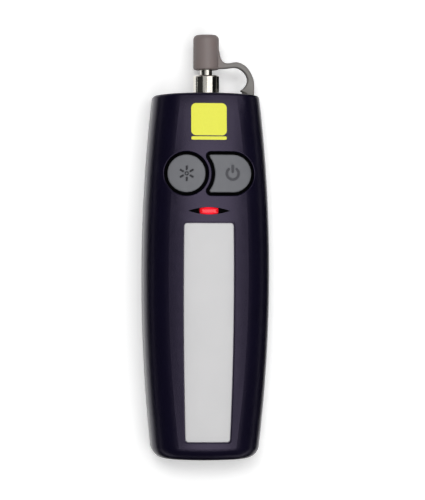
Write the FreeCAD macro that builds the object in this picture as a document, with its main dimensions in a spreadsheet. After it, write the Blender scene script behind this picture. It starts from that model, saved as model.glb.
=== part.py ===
import FreeCAD, Part

import math
import os

import Sketcher
from FreeCAD import Placement, Rotation, Vector

# A hand-held visual fault locator for optical fibre, in millimetres.
# It lies on its back: +Z leaves its front face, +Y runs to the ferrule port and +X is to
# the right. The origin is the middle of the back, under the whole length with its cap on.

doc = FreeCAD.newDocument("visual_fault_locator")
sheet = doc.addObject("Spreadsheet::Sheet", "Dims")

SIZES = {
    # housing
    "body_length": 121.4, "top_width": 35, "mid_width": 42, "foot_width": 34.7,
    "top_height": 22.5, "mid_height": 25.5, "foot_height": 22,
    "back_round": 5, "shoulder_round": 10, "crown_radius": 60, "end_crown": 230,
    "foot_round": 4.5, "top_round": 1, "wall": 2.2, "port_height": 11.2,
    "back_trim": 0.02, "loft_spare": 0.5,
    # buttons
    "button_drop": 26.75, "round_offset": 7.4, "round_radius": 6.2, "dee_offset": 7.8,
    "dee_radius": 6.2, "dee_corner": 0.5, "button_web": 3.15, "button_gap": 1, "button_proud": 0.35,
    "button_edge": 0.5, "flange_reach": 0.4, "flange_thickness": 0.8, "flange_gap": 0.25,
    "rim_round": 0.3,
    # indicator
    "indicator_drop": 39, "eye_width": 13.9, "eye_height": 2.4, "eye_depth": 1.2,
    "lens_width": 6.1, "lens_sink": 0.3, "lens_gap": 0.12, "lens_flange": 1.2,
    "led_length": 3.2, "led_width": 1.6, "led_height": 1.1,
    # front plate and sticker
    "plate_drop": 42.85, "plate_length": 72.45, "plate_top_width": 16.6, "plate_foot_width": 15,
    "plate_bow": 1500, "plate_corner": 1.2, "plate_gap": 0.35, "plate_thickness": 0.5, "plate_sink": 0.15,
    "glue": 0.05, "sticker_drop": 2.3, "sticker_length": 14.4, "sticker_width": 16.3,
    "sticker_corner": 3, "sticker_thickness": 0.15,
    # ferrule port
    "barrel_radius": 4.33, "barrel_length": 6.2, "neck_radius": 2, "neck_length": 13.2,
    "neck_lip": 0.8, "lip_radius": 1.3, "sleeve_radius": 1.6, "sleeve_bore": 1.25,
    "sleeve_length": 11.4, "stop_radius": 1.45, "sleeve_slit": 0.35, "sleeve_gap": 0.05, "shank_radius": 3.8,
    "shank_length": 8, "nut_flats": 11, "nut_thickness": 2.4, "nut_gap": 0.15,
    "chamfer": 0.4,
    # laser module
    "holder_radius": 4.6, "holder_length": 16, "holder_step": 0.25, "lens_radius": 2.45,
    "lens_thickness": 2, "lens_bulge": 6, "can_radius": 1.95, "can_length": 2.8,
    "can_flange_radius": 2.8, "can_flange_thickness": 1.2, "lead_radius": 0.23,
    "lead_pitch": 1.27, "lead_run": 4, "lead_stagger": 0.92, "module_gap": 0.05,
    # dust cap and its strap
    "neck_show": 1.97, "cap_radius": 4.15, "cap_length": 11.6, "cap_bore": 2.65,
    "cap_crown": 1.7, "cap_top_round": 1.6, "cap_mouth_round": 0.65, "strap_thickness": 1.9,
    "strap_depth": 3.8, "strap_lift": 0.68, "strap_root": 3.2, "strap_inset": 2.05,
    "strap_bend": 4.9, "foot_reach": 2, "foot_rise": 3.1, "foot_toe": 0.35,
    "plug_radius": 1.2, "plug_head": 1.8, "plug_head_length": 1, "plug_inset": 1.3,
    "plug_grip": 3.25,
    # circuit board and switches
    "board_level": 16, "board_thickness": 1.6, "board_width": 28, "board_top": 16,
    "board_foot": 50, "tongue_width": 20, "tongue_end": 61.7,
    "switch_width": 6, "switch_height": 1.8, "stem_radius": 1.7, "stem_height": 1.3,
    "stem_sunk": 0.4, "stem_gap": 0.05, "plunger_radius": 2.2, "pocket_depth": 1.2,
    "chip_length": 5, "chip_width": 4, "chip_height": 1.2, "capacitor_radius": 2,
    "capacitor_height": 4, "capacitor_place": 7, "resistor_length": 2, "resistor_width": 1.2,
    "resistor_height": 0.6, "resistor_pitch": 1.92,
    # cells and contacts
    "cell_radius": 7.25, "cell_length": 50.5, "nub_radius": 2.75, "nub_length": 1,
    "cell_pitch": 14.8, "cell_gap": 0.4, "contact_thickness": 0.4, "contact_foot": 4.4,
    "contact_spring": 4.7, "contact_width": 26.4, "contact_low": 6.2, "contact_high": 14,
    "leaf_flat": 1.8, "leaf_foot": 1, "tab_width": 2.4, "contact_split": 3,
    # battery door
    "door_width": 30, "door_length": 63, "door_gap": 0.15, "door_corner": 2,
    "boot_length": 5, "boot_height": 6, "door_sink": 0.1, "tongue_reach": 0.8,
    "tongue_low": 1.9, "tongue_thickness": 0.8, "tongue_inset": 1, "tongue_start": 8,
    "tongue_stop": 60, "tongue_spare": 1, "rail_height": 4.5, "grip_width": 12, "grip_slot": 1,
    "grip_pitch": 2.5, "grip_depth": 0.5, "grip_place": 12,
    # ribs, posts and screws
    "rib": 1.5, "partition_height": 13.5, "saddle_reach": 6.5, "saddle_front": 7.5,
    "saddle_back": 17, "boss_radius": 3, "boss_hole": 1.6, "pilot_radius": 1.25,
    "screw_radius": 1.24, "head_radius": 2.4, "head_height": 1.6, "head_sink": 1.2,
    "screw_length": 14, "screw_top_x": 12.2, "screw_top_drop": 11.5, "screw_mid_x": 14.5,
    "screw_mid_drop": 54.5, "post_radius": 1.5, "post_x": 12.3, "post_top_drop": 17.9,
    "post_foot_drop": 47.3, "seat_gap": 0.05, "drive_width": 0.6, "drive_depth": 0.8,
    "drive_length": 2.88,
}

for row, (alias, value) in enumerate(SIZES.items(), 1):
    sheet.set(f"A{row}", alias)
    sheet.set(f"B{row}", str(value))
    sheet.setAlias(f"B{row}", alias)
doc.recompute()


class Size:
    """A length that knows its value and the sheet expression it comes from."""

    def __init__(self, value, text):
        self.value = float(value)
        self.text = text

    def __add__(self, other):
        other = size(other)
        return Size(self.value + other.value, f"({self.text} + {other.text})")

    def __sub__(self, other):
        other = size(other)
        return Size(self.value - other.value, f"({self.text} - {other.text})")

    def __mul__(self, other):
        other = size(other)
        return Size(self.value * other.value, f"({self.text} * {other.text})")

    def __truediv__(self, other):
        other = size(other)
        return Size(self.value / other.value, f"({self.text} / {other.text})")

    def __neg__(self):
        return Size(-self.value, f"(0 - {self.text})")

    def __radd__(self, other):
        return size(other) + self

    def __rsub__(self, other):
        return size(other) - self

    def __rmul__(self, other):
        return size(other) * self

    def root(self):
        return Size(math.sqrt(self.value), f"sqrt({self.text})")


def size(value):
    return value if isinstance(value, Size) else Size(value, repr(float(value)))


class Sheet:
    """Reads a size from the sheet by its alias."""

    def __getattr__(self, alias):
        return Size(sheet.get(alias), f"Dims.{alias}")


D = Sheet()
CAP_TOP = D.barrel_length + D.neck_show + D.cap_length
FOOT = -(D.body_length + CAP_TOP) / 2
SHOULDER = FOOT + D.body_length
AXIS = D.port_height
FAR = D.body_length
GRIPS = 5
RESISTORS = 4


# ---------------------------------------------------------------- drawing and solid helpers

def origin_plane(owner, role):
    return next(item for item in owner.Origin.OriginFeatures if item.Role == role)


def new_sketch(owner, name, role, offset):
    made = owner.newObject("Sketcher::SketchObject", name)
    made.AttachmentSupport = [(origin_plane(owner, role), "")]
    made.MapMode = "FlatFace"
    made.setExpression("AttachmentOffset.Base.z", size(offset).text)
    return made


def drive(made, kind, ends, value):
    """Adds one sketch dimension and binds it to its size."""
    index = made.addConstraint(Sketcher.Constraint(kind, *ends, value.value))
    made.setExpression(f"Constraints[{index}]", value.text)


def pin_point(made, geometry, end, x, y):
    """Ties a sketch point to its two distances from the sketch's origin."""
    for kind, axis, value in (("DistanceX", -2, size(x)), ("DistanceY", -1, size(y))):
        if abs(value.value) < 1e-9:
            made.addConstraint(Sketcher.Constraint("PointOnObject", geometry, end, axis))
        elif value.value > 0:
            drive(made, kind, (-1, 1, geometry, end), value)
        else:
            drive(made, kind, (geometry, end, -1, 1), -value)


def arc_between(start, end, radius, turn):
    """The shorter arc from start to end; turn is 1 anticlockwise and -1 clockwise."""
    half = (end - start) * 0.5
    rise = math.sqrt(max(radius ** 2 - half.Length ** 2, 0))
    left = Vector(-half.y, half.x, 0).normalize()
    centre = start + half + left * (rise * turn)
    first, last = (start, end) if turn > 0 else (end, start)
    angles = [math.atan2(spot.y - centre.y, spot.x - centre.x) for spot in (first, last)]
    if angles[1] < angles[0]:
        angles[1] += 2 * math.pi
    return Part.ArcOfCircle(Part.Circle(centre, Vector(0, 0, 1), radius), *angles)


def outline(made, corners):
    """Draws a closed outline. A corner is (x, y), or (x, y, radius, turn) where an arc leaves it."""
    spots = [Vector(size(corner[0]).value, size(corner[1]).value, 0) for corner in corners]
    ends = []
    for index, corner in enumerate(corners):
        start = spots[index]
        end = spots[(index + 1) % len(spots)]
        if len(corner) == 2:
            made.addGeometry(Part.LineSegment(start, end), False)
            ends.append((1, 2))
        else:
            made.addGeometry(arc_between(start, end, size(corner[2]).value, corner[3]), False)
            ends.append((1, 2) if corner[3] > 0 else (2, 1))
    for index, corner in enumerate(corners):
        after = (index + 1) % len(corners)
        link = (index, ends[index][1], after, ends[after][0])
        made.addConstraint(Sketcher.Constraint("Coincident", *link))
    for index, corner in enumerate(corners):
        pin_point(made, index, ends[index][0], corner[0], corner[1])
        if len(corner) == 4:
            drive(made, "Radius", (index,), size(corner[2]))


def ring(made, x, y, radius):
    """Draws one circle."""
    centre = Vector(size(x).value, size(y).value, 0)
    index = made.addGeometry(Part.Circle(centre, Vector(0, 0, 1), size(radius).value), False)
    pin_point(made, index, 3, x, y)
    drive(made, "Radius", (index,), size(radius))


def new_body(name):
    return doc.addObject("PartDesign::Body", name)


def pad(owner, made, length):
    feature = owner.newObject("PartDesign::Pad", made.Name + "_pad")
    feature.Profile = made
    feature.setExpression("Length", size(length).text)
    return feature


def prism(name, corners, low, high):
    """A body padded upwards from an outline in plan."""
    owner = new_body(name)
    made = new_sketch(owner, name + "_outline", "XY_Plane", low)
    outline(made, corners)
    pad(owner, made, size(high) - low)
    return owner


def turned(name, corners, x=0.0, z=AXIS):
    """A body turned about an axis along Y; each corner is (radius, y)."""
    owner = new_body(name)
    made = new_sketch(owner, name + "_outline", "XY_Plane", 0)
    outline(made, corners)
    feature = owner.newObject("PartDesign::Revolution", name + "_turn")
    feature.Profile = made
    feature.ReferenceAxis = (made, ["V_Axis"])
    feature.Angle = 360
    owner.setExpression("Placement.Base.x", size(x).text)
    owner.setExpression("Placement.Base.z", size(z).text)
    return owner


def block(name, x, y, z):
    """A box given by its (low, high) along each axis."""
    made = doc.addObject("Part::Box", name)
    for side, base, (low, high) in zip(("Length", "Width", "Height"), "xyz", (x, y, z)):
        made.setExpression(side, (size(high) - low).text)
        made.setExpression(f"Placement.Base.{base}", size(low).text)
    return made


def rod(name, radius, length, x, y, z, direction=Vector(0, 0, 1)):
    """A cylinder that starts at a point and runs along a direction."""
    made = doc.addObject("Part::Cylinder", name)
    made.Placement = Placement(Vector(), Rotation(Vector(0, 0, 1), direction))
    made.setExpression("Radius", size(radius).text)
    made.setExpression("Height", size(length).text)
    for base, value in zip("xyz", (x, y, z)):
        made.setExpression(f"Placement.Base.{base}", size(value).text)
    return made


def joined(name, *pieces):
    made = doc.addObject("Part::MultiFuse", name)
    made.Shapes = list(pieces)
    return made


def shared(name, *pieces):
    made = doc.addObject("Part::MultiCommon", name)
    made.Shapes = list(pieces)
    return made


def cut(name, base, *tools):
    made = doc.addObject("Part::Cut", name)
    made.Base = base
    made.Tool = tools[0] if len(tools) == 1 else joined(name + "_tools", *tools)
    return made


def group(name, *pieces):
    made = doc.addObject("Part::Compound", name)
    made.Links = list(pieces)
    return made


def rounded(name, base, radius, wanted):
    """Rounds every edge of base that the function wanted picks."""
    doc.recompute()
    made = doc.addObject("Part::Fillet", name)
    made.Base = base
    numbers = [number for number, edge in enumerate(base.Shape.Edges, 1) if wanted(edge)]
    made.Edges = [(number, radius.value, radius.value) for number in numbers]
    return made


def rim_edges(shape, low):
    """The edges above a level where an upright wall meets a face that looks upwards."""
    found = []
    for edge in shape.Edges:
        if edge.BoundBox.ZMin < low.value:
            continue
        tilts = []
        for face in shape.ancestorsOfType(edge, Part.Face):
            u, v = face.Surface.parameter(edge.valueAt(edge.FirstParameter))
            tilts.append(face.normalAt(u, v).z)
        if min(map(abs, tilts)) < 0.01 and max(tilts) > 0.3:
            found.append(edge)
    return found


def softened(name, base, radius, low):
    """Rounds the rims that rim_edges finds above a level."""
    doc.recompute()
    rims = rim_edges(base.Shape, low)
    return rounded(name, base, radius, lambda edge: any(edge.isSame(rim) for rim in rims))


# ---------------------------------------------------------------- housing form

def section(owner, name, y, half_width, height, inset):
    """One cross-section: flat back, round back corners, upright sides, big shoulders, crown."""
    wide = half_width - inset
    high = height - inset
    low = inset - D.back_trim
    back = D.back_round - inset
    shoulder = D.shoulder_round - inset
    crown = D.crown_radius - inset
    crown_middle = high - crown
    rise = ((crown - shoulder) * (crown - shoulder)
            - (wide - shoulder) * (wide - shoulder)).root()
    lift = (crown_middle + rise).value
    lean = math.atan2(rise.value, (wide - shoulder).value)
    side = wide.value
    corner = (wide - back).value
    floor = low.value
    up = Vector(0, 0, 1)

    def arc(x, y, radius, start, end):
        return Part.ArcOfCircle(Part.Circle(Vector(x, y, 0), up, radius), start, end)

    def line(x0, y0, x1, y1):
        return Part.LineSegment(Vector(x0, y0, 0), Vector(x1, y1, 0))

    right = shoulder.value - side
    knee = floor + back.value
    made = new_sketch(owner, name, "XZ_Plane", -size(y))
    made.addGeometry([
        line(-corner, floor, corner, floor),
        arc(corner, knee, back.value, -math.pi / 2, 0),
        line(side, knee, side, lift),
        arc(-right, lift, shoulder.value, 0, lean),
        arc(0, crown_middle.value, crown.value, lean, math.pi - lean),
        arc(right, lift, shoulder.value, math.pi - lean, math.pi),
        line(-side, lift, -side, knee),
        arc(-corner, knee, back.value, math.pi, 1.5 * math.pi),
    ], False)
    for index in range(8):
        link = (index, 2, (index + 1) % 8, 1)
        made.addConstraint(Sketcher.Constraint("Tangent", *link))
    made.addConstraint(Sketcher.Constraint("Horizontal", 0))
    made.addConstraint(Sketcher.Constraint("Vertical", 2))
    made.addConstraint(Sketcher.Constraint("Vertical", 6))
    made.addConstraint(Sketcher.Constraint("Equal", 1, 7))
    made.addConstraint(Sketcher.Constraint("Equal", 3, 5))
    made.addConstraint(Sketcher.Constraint("PointOnObject", 4, 3, -2))
    drive(made, "Radius", (1,), back)
    drive(made, "Radius", (3,), shoulder)
    drive(made, "Radius", (4,), crown)
    drive(made, "DistanceX", (-1, 1, 2, 1), wide)
    drive(made, "DistanceX", (6, 1, -1, 1), wide)
    drive(made, "DistanceY", (4, 3, -1, 1), -crown_middle)
    if abs(floor) < 1e-9:
        made.addConstraint(Sketcher.Constraint("PointOnObject", 0, 1, -1))
    elif floor > 0:
        drive(made, "DistanceY", (-1, 1, 0, 1), low)
    else:
        drive(made, "DistanceY", (0, 1, -1, 1), -low)
    return made


def form(name, inset):
    """The housing's lofted form, everywhere inset from the outer skin by the same amount."""
    owner = new_body(name)
    stations = (("top", SHOULDER + D.loft_spare, D.top_width, D.top_height),
                ("mid", SHOULDER - D.body_length / 2, D.mid_width, D.mid_height),
                ("foot", FOOT - D.loft_spare, D.foot_width, D.foot_height))
    sections = [section(owner, f"{name}_{place}", y, width / 2, height, size(inset))
                for place, y, width, height in stations]
    loft = owner.newObject("PartDesign::AdditiveLoft", name + "_loft")
    loft.Profile = sections[0]
    loft.Sections = [(item, [""]) for item in sections[1:]]
    loft.Ruled = False
    return owner


def closed_form(name, inset, *rounds):
    """The form with its crowned ends; rounds are (end, radius) for the rims of the ends."""
    reach = D.mid_width
    drop = D.end_crown - (D.end_crown * D.end_crown - reach * reach).root()
    top = SHOULDER - inset
    foot = FOOT + inset
    ends = prism(name + "_ends", [
        (reach, top - drop, D.end_crown, 1), (0, top, D.end_crown, 1),
        (-reach, top - drop), (-reach, foot + drop, D.end_crown, 1),
        (0, foot, D.end_crown, 1), (reach, foot + drop),
    ], -D.wall, D.mid_height * 2)
    made = shared(name, form(name + "_loft", inset), ends)
    for end, radius in rounds:
        doc.recompute()
        rim = min(made.Shape.Faces, key=lambda face: abs(face.CenterOfMass.y - end.value))
        made = rounded(made.Name + "_round", made, radius,
                       lambda edge: any(edge.isSame(other) for other in rim.Edges))
    return made


# ---------------------------------------------------------------- places on the front face

def mirrored_corner(grow):
    """The foot of the dee button: where its hollow edge meets its straight edges."""
    straight = D.dee_radius + grow
    hollow = D.round_radius + D.button_web - grow
    return (hollow * hollow - straight * straight).root() - D.round_offset


def dee(grow):
    """The dee button's outline, grown by a clearance."""
    middle = SHOULDER - D.button_drop
    radius = D.dee_radius + grow
    hollow = D.round_radius + D.button_web - grow
    corner = mirrored_corner(grow)
    return [
        (corner, middle - radius), (D.dee_offset, middle - radius, radius, 1),
        (D.dee_offset + radius, middle, radius, 1), (D.dee_offset, middle + radius),
        (corner, middle + radius, hollow, -1),
    ]


def dee_prism(name, grow):
    """The dee outline padded through the face, with its two sharp corners rounded."""
    column = prism(name + "_sharp", dee(grow), BOARD_TOP, HIGH)
    corner = mirrored_corner(grow).value

    def upright(edge):
        start, end = (vertex.Point for vertex in edge.Vertexes)
        return abs(start.z - end.z) > 1 and abs(start.x - corner) < 0.01

    return rounded(name, column, D.dee_corner + grow, upright)


def disc(name, x, y, radius, low, high):
    """A round body padded upwards."""
    owner = new_body(name)
    made = new_sketch(owner, name + "_outline", "XY_Plane", low)
    ring(made, x, y, radius)
    pad(owner, made, size(high) - low)
    return owner


def eye(grow):
    """The indicator's eye: two long arcs that meet in points."""
    half_width = D.eye_width / 2 + grow
    half_height = D.eye_height / 2 + grow
    radius = (half_width * half_width + half_height * half_height) / (half_height * 2)
    middle = SHOULDER - D.indicator_drop
    return [(-half_width, middle, radius, 1), (half_width, middle, radius, 1)]


def round_corners(corners, radius):
    """Puts an arc of one radius at each corner of a straight-sided outline."""
    made = []
    count = len(corners)
    for index, (x, y) in enumerate(corners):
        for other, turn in ((index - 1, None), ((index + 1) % count, 1)):
            far_x, far_y = corners[other]
            run_x = far_x - x
            run_y = far_y - y
            length = (run_x * run_x + run_y * run_y).root()
            spot = (x + run_x * radius / length, y + run_y * radius / length)
            made.append(spot + ((radius, 1) if turn is None else ()))
    return made


def plate_outline(grow):
    """The tapered front plate: its long sides bow out a little and its corners are round."""
    top = SHOULDER - D.plate_drop + grow
    foot = SHOULDER - D.plate_drop - D.plate_length - grow
    top_half = D.plate_top_width / 2 + grow
    foot_half = D.plate_foot_width / 2 + grow
    corners = [(-foot_half, foot), (foot_half, foot), (top_half, top), (-top_half, top)]
    spots = round_corners(corners, D.plate_corner)
    for side_start in (3, 7):
        spots[side_start] += (D.plate_bow, 1)
    return spots


def sticker_outline():
    top = SHOULDER - D.sticker_drop
    foot = top - D.sticker_length
    half = D.sticker_width / 2
    return round_corners([(-half, foot), (half, foot), (half, top), (-half, top)],
                         D.sticker_corner)


# ---------------------------------------------------------------- housing

OUTER = closed_form("outer", size(0), (FOOT, D.foot_round), (SHOULDER, D.top_round))
INNER = closed_form("inner", D.wall, (FOOT + D.wall, D.foot_round - D.wall))
SKIN = form("skin", 0)
UNDER = form("under", D.wall + D.flange_gap)
BELOW = form("below", D.wall + D.flange_gap + D.flange_thickness)
HIGH = D.mid_height * 2
SCREWS = [(side * x, SHOULDER - drop)
          for x, drop in ((D.screw_top_x, D.screw_top_drop), (D.screw_mid_x, D.screw_mid_drop))
          for side in (-1, 1)]
POSTS = [(side * D.post_x, SHOULDER - drop)
         for drop in (D.post_top_drop, D.post_foot_drop) for side in (-1, 1)]
BOARD_TOP = D.board_level + D.board_thickness
HEAD_LEVEL = D.head_sink + D.head_height
KNEE_X = D.top_width / 2 - D.strap_inset - D.strap_thickness / 2 - D.strap_bend
PLUG_X = KNEE_X + D.strap_bend - D.plug_inset


def end_holes():
    """What passes through the top end wall: the port's shank and the strap's plug."""
    shank = rod("shank_hole", D.shank_radius + D.nut_gap, D.wall * 3, 0,
                SHOULDER - D.wall * 2, AXIS, Vector(0, 1, 0))
    plug = rod("plug_hole", D.plug_radius + D.nut_gap, D.wall * 3, PLUG_X,
               SHOULDER - D.wall * 2, AXIS, Vector(0, 1, 0))
    return shank, plug


END_HOLES = end_holes()


def front_shell():
    """The upper moulding: crown, shoulders, button openings, eye, plate recess and bosses."""
    half = block("front_half", (-FAR, FAR), (-FAR, FAR), (D.port_height, HIGH))
    wall = cut("front_wall", shared("front_outer", OUTER, half), INNER)
    bosses = [rod(f"front_boss_{number}", D.boss_radius, HIGH - AXIS, x, y, AXIS)
              for number, (x, y) in enumerate(SCREWS)]
    posts = [rod(f"front_post_{number}", D.post_radius, HIGH - BOARD_TOP, x, y,
                 BOARD_TOP + D.seat_gap)
             for number, (x, y) in enumerate(POSTS)]
    inner_skin = form("boss_limit", D.wall / 2)
    columns = shared("front_columns", joined("front_rods", *bosses, *posts), inner_skin)
    pilots = [rod(f"front_pilot_{number}", D.pilot_radius,
                  D.screw_length + HEAD_LEVEL + D.chamfer - AXIS, x, y, AXIS)
              for number, (x, y) in enumerate(SCREWS)]
    middle = SHOULDER - D.button_drop
    round_hole = disc("round_opening", -D.round_offset, middle,
                      D.round_radius + D.button_gap, BOARD_TOP, HIGH)
    dee_hole = dee_prism("dee_opening", D.button_gap)
    pierced = cut("front_pierced", wall, round_hole, dee_hole)
    skin = softened("front_rims", pierced, D.rim_round, BOARD_TOP + D.wall)
    moulding = joined("front_moulding", skin, columns)
    eye_hole = cut("eye_opening", prism("eye_column", eye(0), BOARD_TOP, HIGH),
                   form("eye_floor", D.eye_depth))
    lens_hole = indicator_column("lens_opening", D.lens_gap, BOARD_TOP, HIGH)
    recess = cut("plate_recess", prism("plate_column", plate_outline(D.plate_gap), BOARD_TOP, HIGH),
                 form("plate_floor", D.plate_sink + D.plate_thickness + D.glue))
    return cut("front_opened", moulding, eye_hole, lens_hole, recess, *pilots, *END_HOLES)


def indicator_column(name, grow, low, high):
    """The middle of the eye, cut off by two straight ends."""
    half = D.lens_width / 2 + grow
    return shared(name, prism(name + "_eye", eye(grow - D.lens_gap), low, high),
                  block(name + "_ends", (-half, half), (-FAR, FAR), (low, high)))


def door_tool(name, grow, plate_top):
    """The battery door's reach into the housing: its plate and its boot, grown by a gap."""
    half = D.door_width / 2 + grow
    top = FOOT + D.door_length + grow
    plate = prism(name + "_plate", round_corners(
        [(-half, FOOT - D.door_length), (half, FOOT - D.door_length), (half, top), (-half, top)],
        D.door_corner), -D.wall, plate_top)
    boot = block(name + "_boot", (-FAR, FAR), (FOOT - D.wall, FOOT + D.boot_length + grow),
                 (-D.wall, D.boot_height + grow))
    return joined(name, plate, boot)


def door_tongues(name, grow, start, stop):
    """The two tongues along the door's long edges, or the grooves they run in."""
    reach = D.door_width / 2 + D.tongue_reach + grow
    root = D.door_width / 2 - D.tongue_inset
    level = (D.tongue_low - grow, D.tongue_low + D.tongue_thickness + grow)
    return [block(f"{name}_left", (-reach, -root), (start, stop), level),
            block(f"{name}_right", (root, reach), (start, stop), level)]


def partition():
    """The rib across the top of the battery bay, which backs the two upper contacts."""
    start = FOOT + D.tongue_end - D.seat_gap
    return block("bay_partition", (-D.door_width / 2 - D.rib, D.door_width / 2 + D.rib),
                 (start, start + D.rib), (D.wall + D.cell_gap, D.partition_height))


def saddles():
    """Two cradles under the laser module."""
    made = []
    for name, drop in (("front_saddle", D.saddle_front), ("back_saddle", D.saddle_back)):
        plate = block(name + "_plate", (-D.saddle_reach, D.saddle_reach),
                      (SHOULDER - drop - D.rib, SHOULDER - drop), (D.wall / 2, AXIS))
        bore = rod(name + "_bore", D.holder_radius + D.seat_gap, D.rib * 3, 0,
                   SHOULDER - drop - D.rib * 2, AXIS, Vector(0, 1, 0))
        made.append(cut(name, plate, bore))
    return made


def rear_shell():
    """The lower moulding: flat back, battery bay with its rails, posts, bosses and cradles."""
    half = block("rear_half", (-FAR, FAR), (-FAR, FAR), (0, D.port_height))
    wall = cut("rear_wall", shared("rear_outer", OUTER, half), INNER)
    edge = D.door_width / 2 + D.door_gap
    bay = (FOOT + D.boot_length, FOOT + D.door_length + D.door_gap * 2)
    rails = [block("rail_left", (-FAR, -edge), bay, (0, D.rail_height)),
             block("rail_right", (edge, FAR), bay, (0, D.rail_height))]
    bosses = [rod(f"rear_boss_{number}", D.boss_radius, AXIS - D.seat_gap, x, y, 0)
              for number, (x, y) in enumerate(SCREWS)]
    posts = [rod(f"rear_post_{number}", D.post_radius, D.board_level - D.seat_gap, x, y, 0)
             for number, (x, y) in enumerate(POSTS)]
    pads = [block("foot_pad", (-D.contact_width / 2, D.contact_width / 2),
                  (FOOT + D.wall / 2, FOOT + D.contact_foot),
                  (D.boot_height + D.door_gap, AXIS - D.seat_gap))]
    ribs = joined("rear_ribs", *rails, *bosses, *posts, *pads, partition(), *saddles())
    kept = shared("rear_ribs_kept", ribs, OUTER)
    through = [rod(f"screw_hole_{number}", D.boss_hole, HIGH, x, y, -D.wall)
               for number, (x, y) in enumerate(SCREWS)]
    heads = [rod(f"head_hole_{number}", D.head_radius + D.door_gap, D.wall + HEAD_LEVEL, x, y,
                 -D.wall)
             for number, (x, y) in enumerate(SCREWS)]
    grooves = door_tongues("groove", D.door_gap, FOOT, FOOT + D.tongue_stop + D.tongue_spare)
    moulding = joined("rear_moulding", wall, kept)
    way = door_tool("door_way", D.door_gap, D.rail_height)
    return cut("rear_opened", moulding, way, *grooves, *through, *heads, *END_HOLES)


def battery_door():
    """The sliding door: a plate with tongues, and a boot that closes the foot of the back."""
    skin = shared("door_skin", door_tool("door_shape", size(0), D.wall), OUTER)
    plate = cut("door_wall", skin, INNER)
    sink = block("door_sink_tool", (-FAR, FAR), (-FAR, FAR), (-D.wall, D.door_sink))
    tongues = door_tongues("tongue", size(0), FOOT + D.tongue_start, FOOT + D.tongue_stop)
    slots = []
    for number in range(GRIPS):
        start = FOOT + D.grip_place + D.grip_pitch * number
        slots.append(block(f"grip_{number}", (-D.grip_width / 2, D.grip_width / 2),
                           (start, start + D.grip_slot), (-D.wall, D.door_sink + D.grip_depth)))
    return cut("door_finished", joined("door_blank", plate, *tongues), sink, *slots)


# ---------------------------------------------------------------- front face pieces

def button(name, column, flange_column, stem_x):
    """A button cap whose face follows the housing, over a flange that keeps it in."""
    cap = shared(name + "_cap", column, form(name + "_face", -D.button_proud))
    edge = softened(name + "_edge", cap, D.button_edge, BOARD_TOP + D.switch_height)
    flange = shared(name + "_flange", flange_column, UNDER)
    blank = cut(name + "_blank", joined(name + "_solid", edge, flange), BELOW)
    level = BOARD_TOP + D.switch_height - D.stem_sunk + D.stem_height
    plunger = shared(name + "_plunger",
                     rod(name + "_post", D.plunger_radius, HIGH - level, stem_x,
                         SHOULDER - D.button_drop, level), UNDER)
    return joined(name + "_whole", blank, plunger)


def mode_button():
    middle = SHOULDER - D.button_drop
    column = disc("mode_column", -D.round_offset, middle, D.round_radius, BOARD_TOP, HIGH)
    flange = disc("mode_flange_column", -D.round_offset, middle,
                  D.round_radius + D.button_gap + D.flange_reach, BOARD_TOP, HIGH)
    return button("mode", column, flange, -D.round_offset)


def power_button():
    column = dee_prism("power_column", size(0))
    flange = dee_prism("power_flange_column", D.button_gap + D.flange_reach)
    return button("power", column, flange, D.dee_offset)


def front_plate():
    column = prism("front_plate_column", plate_outline(size(0)), BOARD_TOP, HIGH)
    top = form("front_plate_face", D.plate_sink)
    return cut("front_plate_blank", shared("front_plate_top", column, top),
               form("front_plate_back", D.plate_sink + D.plate_thickness))


def blank_sticker():
    column = prism("sticker_column", sticker_outline(), BOARD_TOP, HIGH)
    top = form("sticker_face", -D.sticker_thickness)
    return cut("sticker_blank", shared("sticker_top", column, top), SKIN)


def indicator_lens():
    """A light pipe: the red eye in the face, a flange under the wall, and a foot at the lamp."""
    low = BOARD_TOP + D.led_height + D.seat_gap
    pipe = shared("lens_pipe", indicator_column("lens_column", size(0), low, HIGH),
                  form("lens_face", D.lens_sink))
    half = D.lens_width / 2 + D.lens_flange
    middle = SHOULDER - D.indicator_drop
    deep = D.eye_height / 2 + D.lens_flange
    flange = block("lens_flange_block", (-half, half), (middle - deep, middle + deep), (low, HIGH))
    ledge = cut("lens_ledge", shared("lens_flange_kept", flange, UNDER), BELOW)
    return joined("lens_whole", pipe, ledge)


def indicator_led():
    middle = SHOULDER - D.indicator_drop
    return block("led", (-D.led_length / 2, D.led_length / 2),
                 (middle - D.led_width / 2, middle + D.led_width / 2),
                 (BOARD_TOP, BOARD_TOP + D.led_height))


# ---------------------------------------------------------------- ferrule port and laser module

def port_barrel():
    """The plated barrel, its slim neck and the shank that goes through the end wall."""
    tip = SHOULDER + D.neck_length
    bore = D.sleeve_radius + D.sleeve_gap
    seat = tip - D.neck_lip
    sleeve_end = seat - D.sleeve_length - D.sleeve_gap
    rear = SHOULDER - D.shank_length
    top = SHOULDER + D.barrel_length
    return turned("port_barrel_turned", [
        (bore, rear), (D.shank_radius, rear), (D.shank_radius, SHOULDER),
        (D.barrel_radius, SHOULDER), (D.barrel_radius, top - D.chamfer),
        (D.barrel_radius - D.chamfer, top), (D.neck_radius, top),
        (D.neck_radius, tip - D.chamfer / 2), (D.neck_radius - D.chamfer / 2, tip),
        (D.lip_radius + D.chamfer / 2, tip), (D.lip_radius, tip - D.chamfer / 2),
        (D.lip_radius, seat), (bore, seat), (bore, sleeve_end),
        (D.stop_radius, sleeve_end), (D.stop_radius, sleeve_end - D.chamfer),
        (bore, sleeve_end - D.chamfer * 2),
    ])


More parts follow.
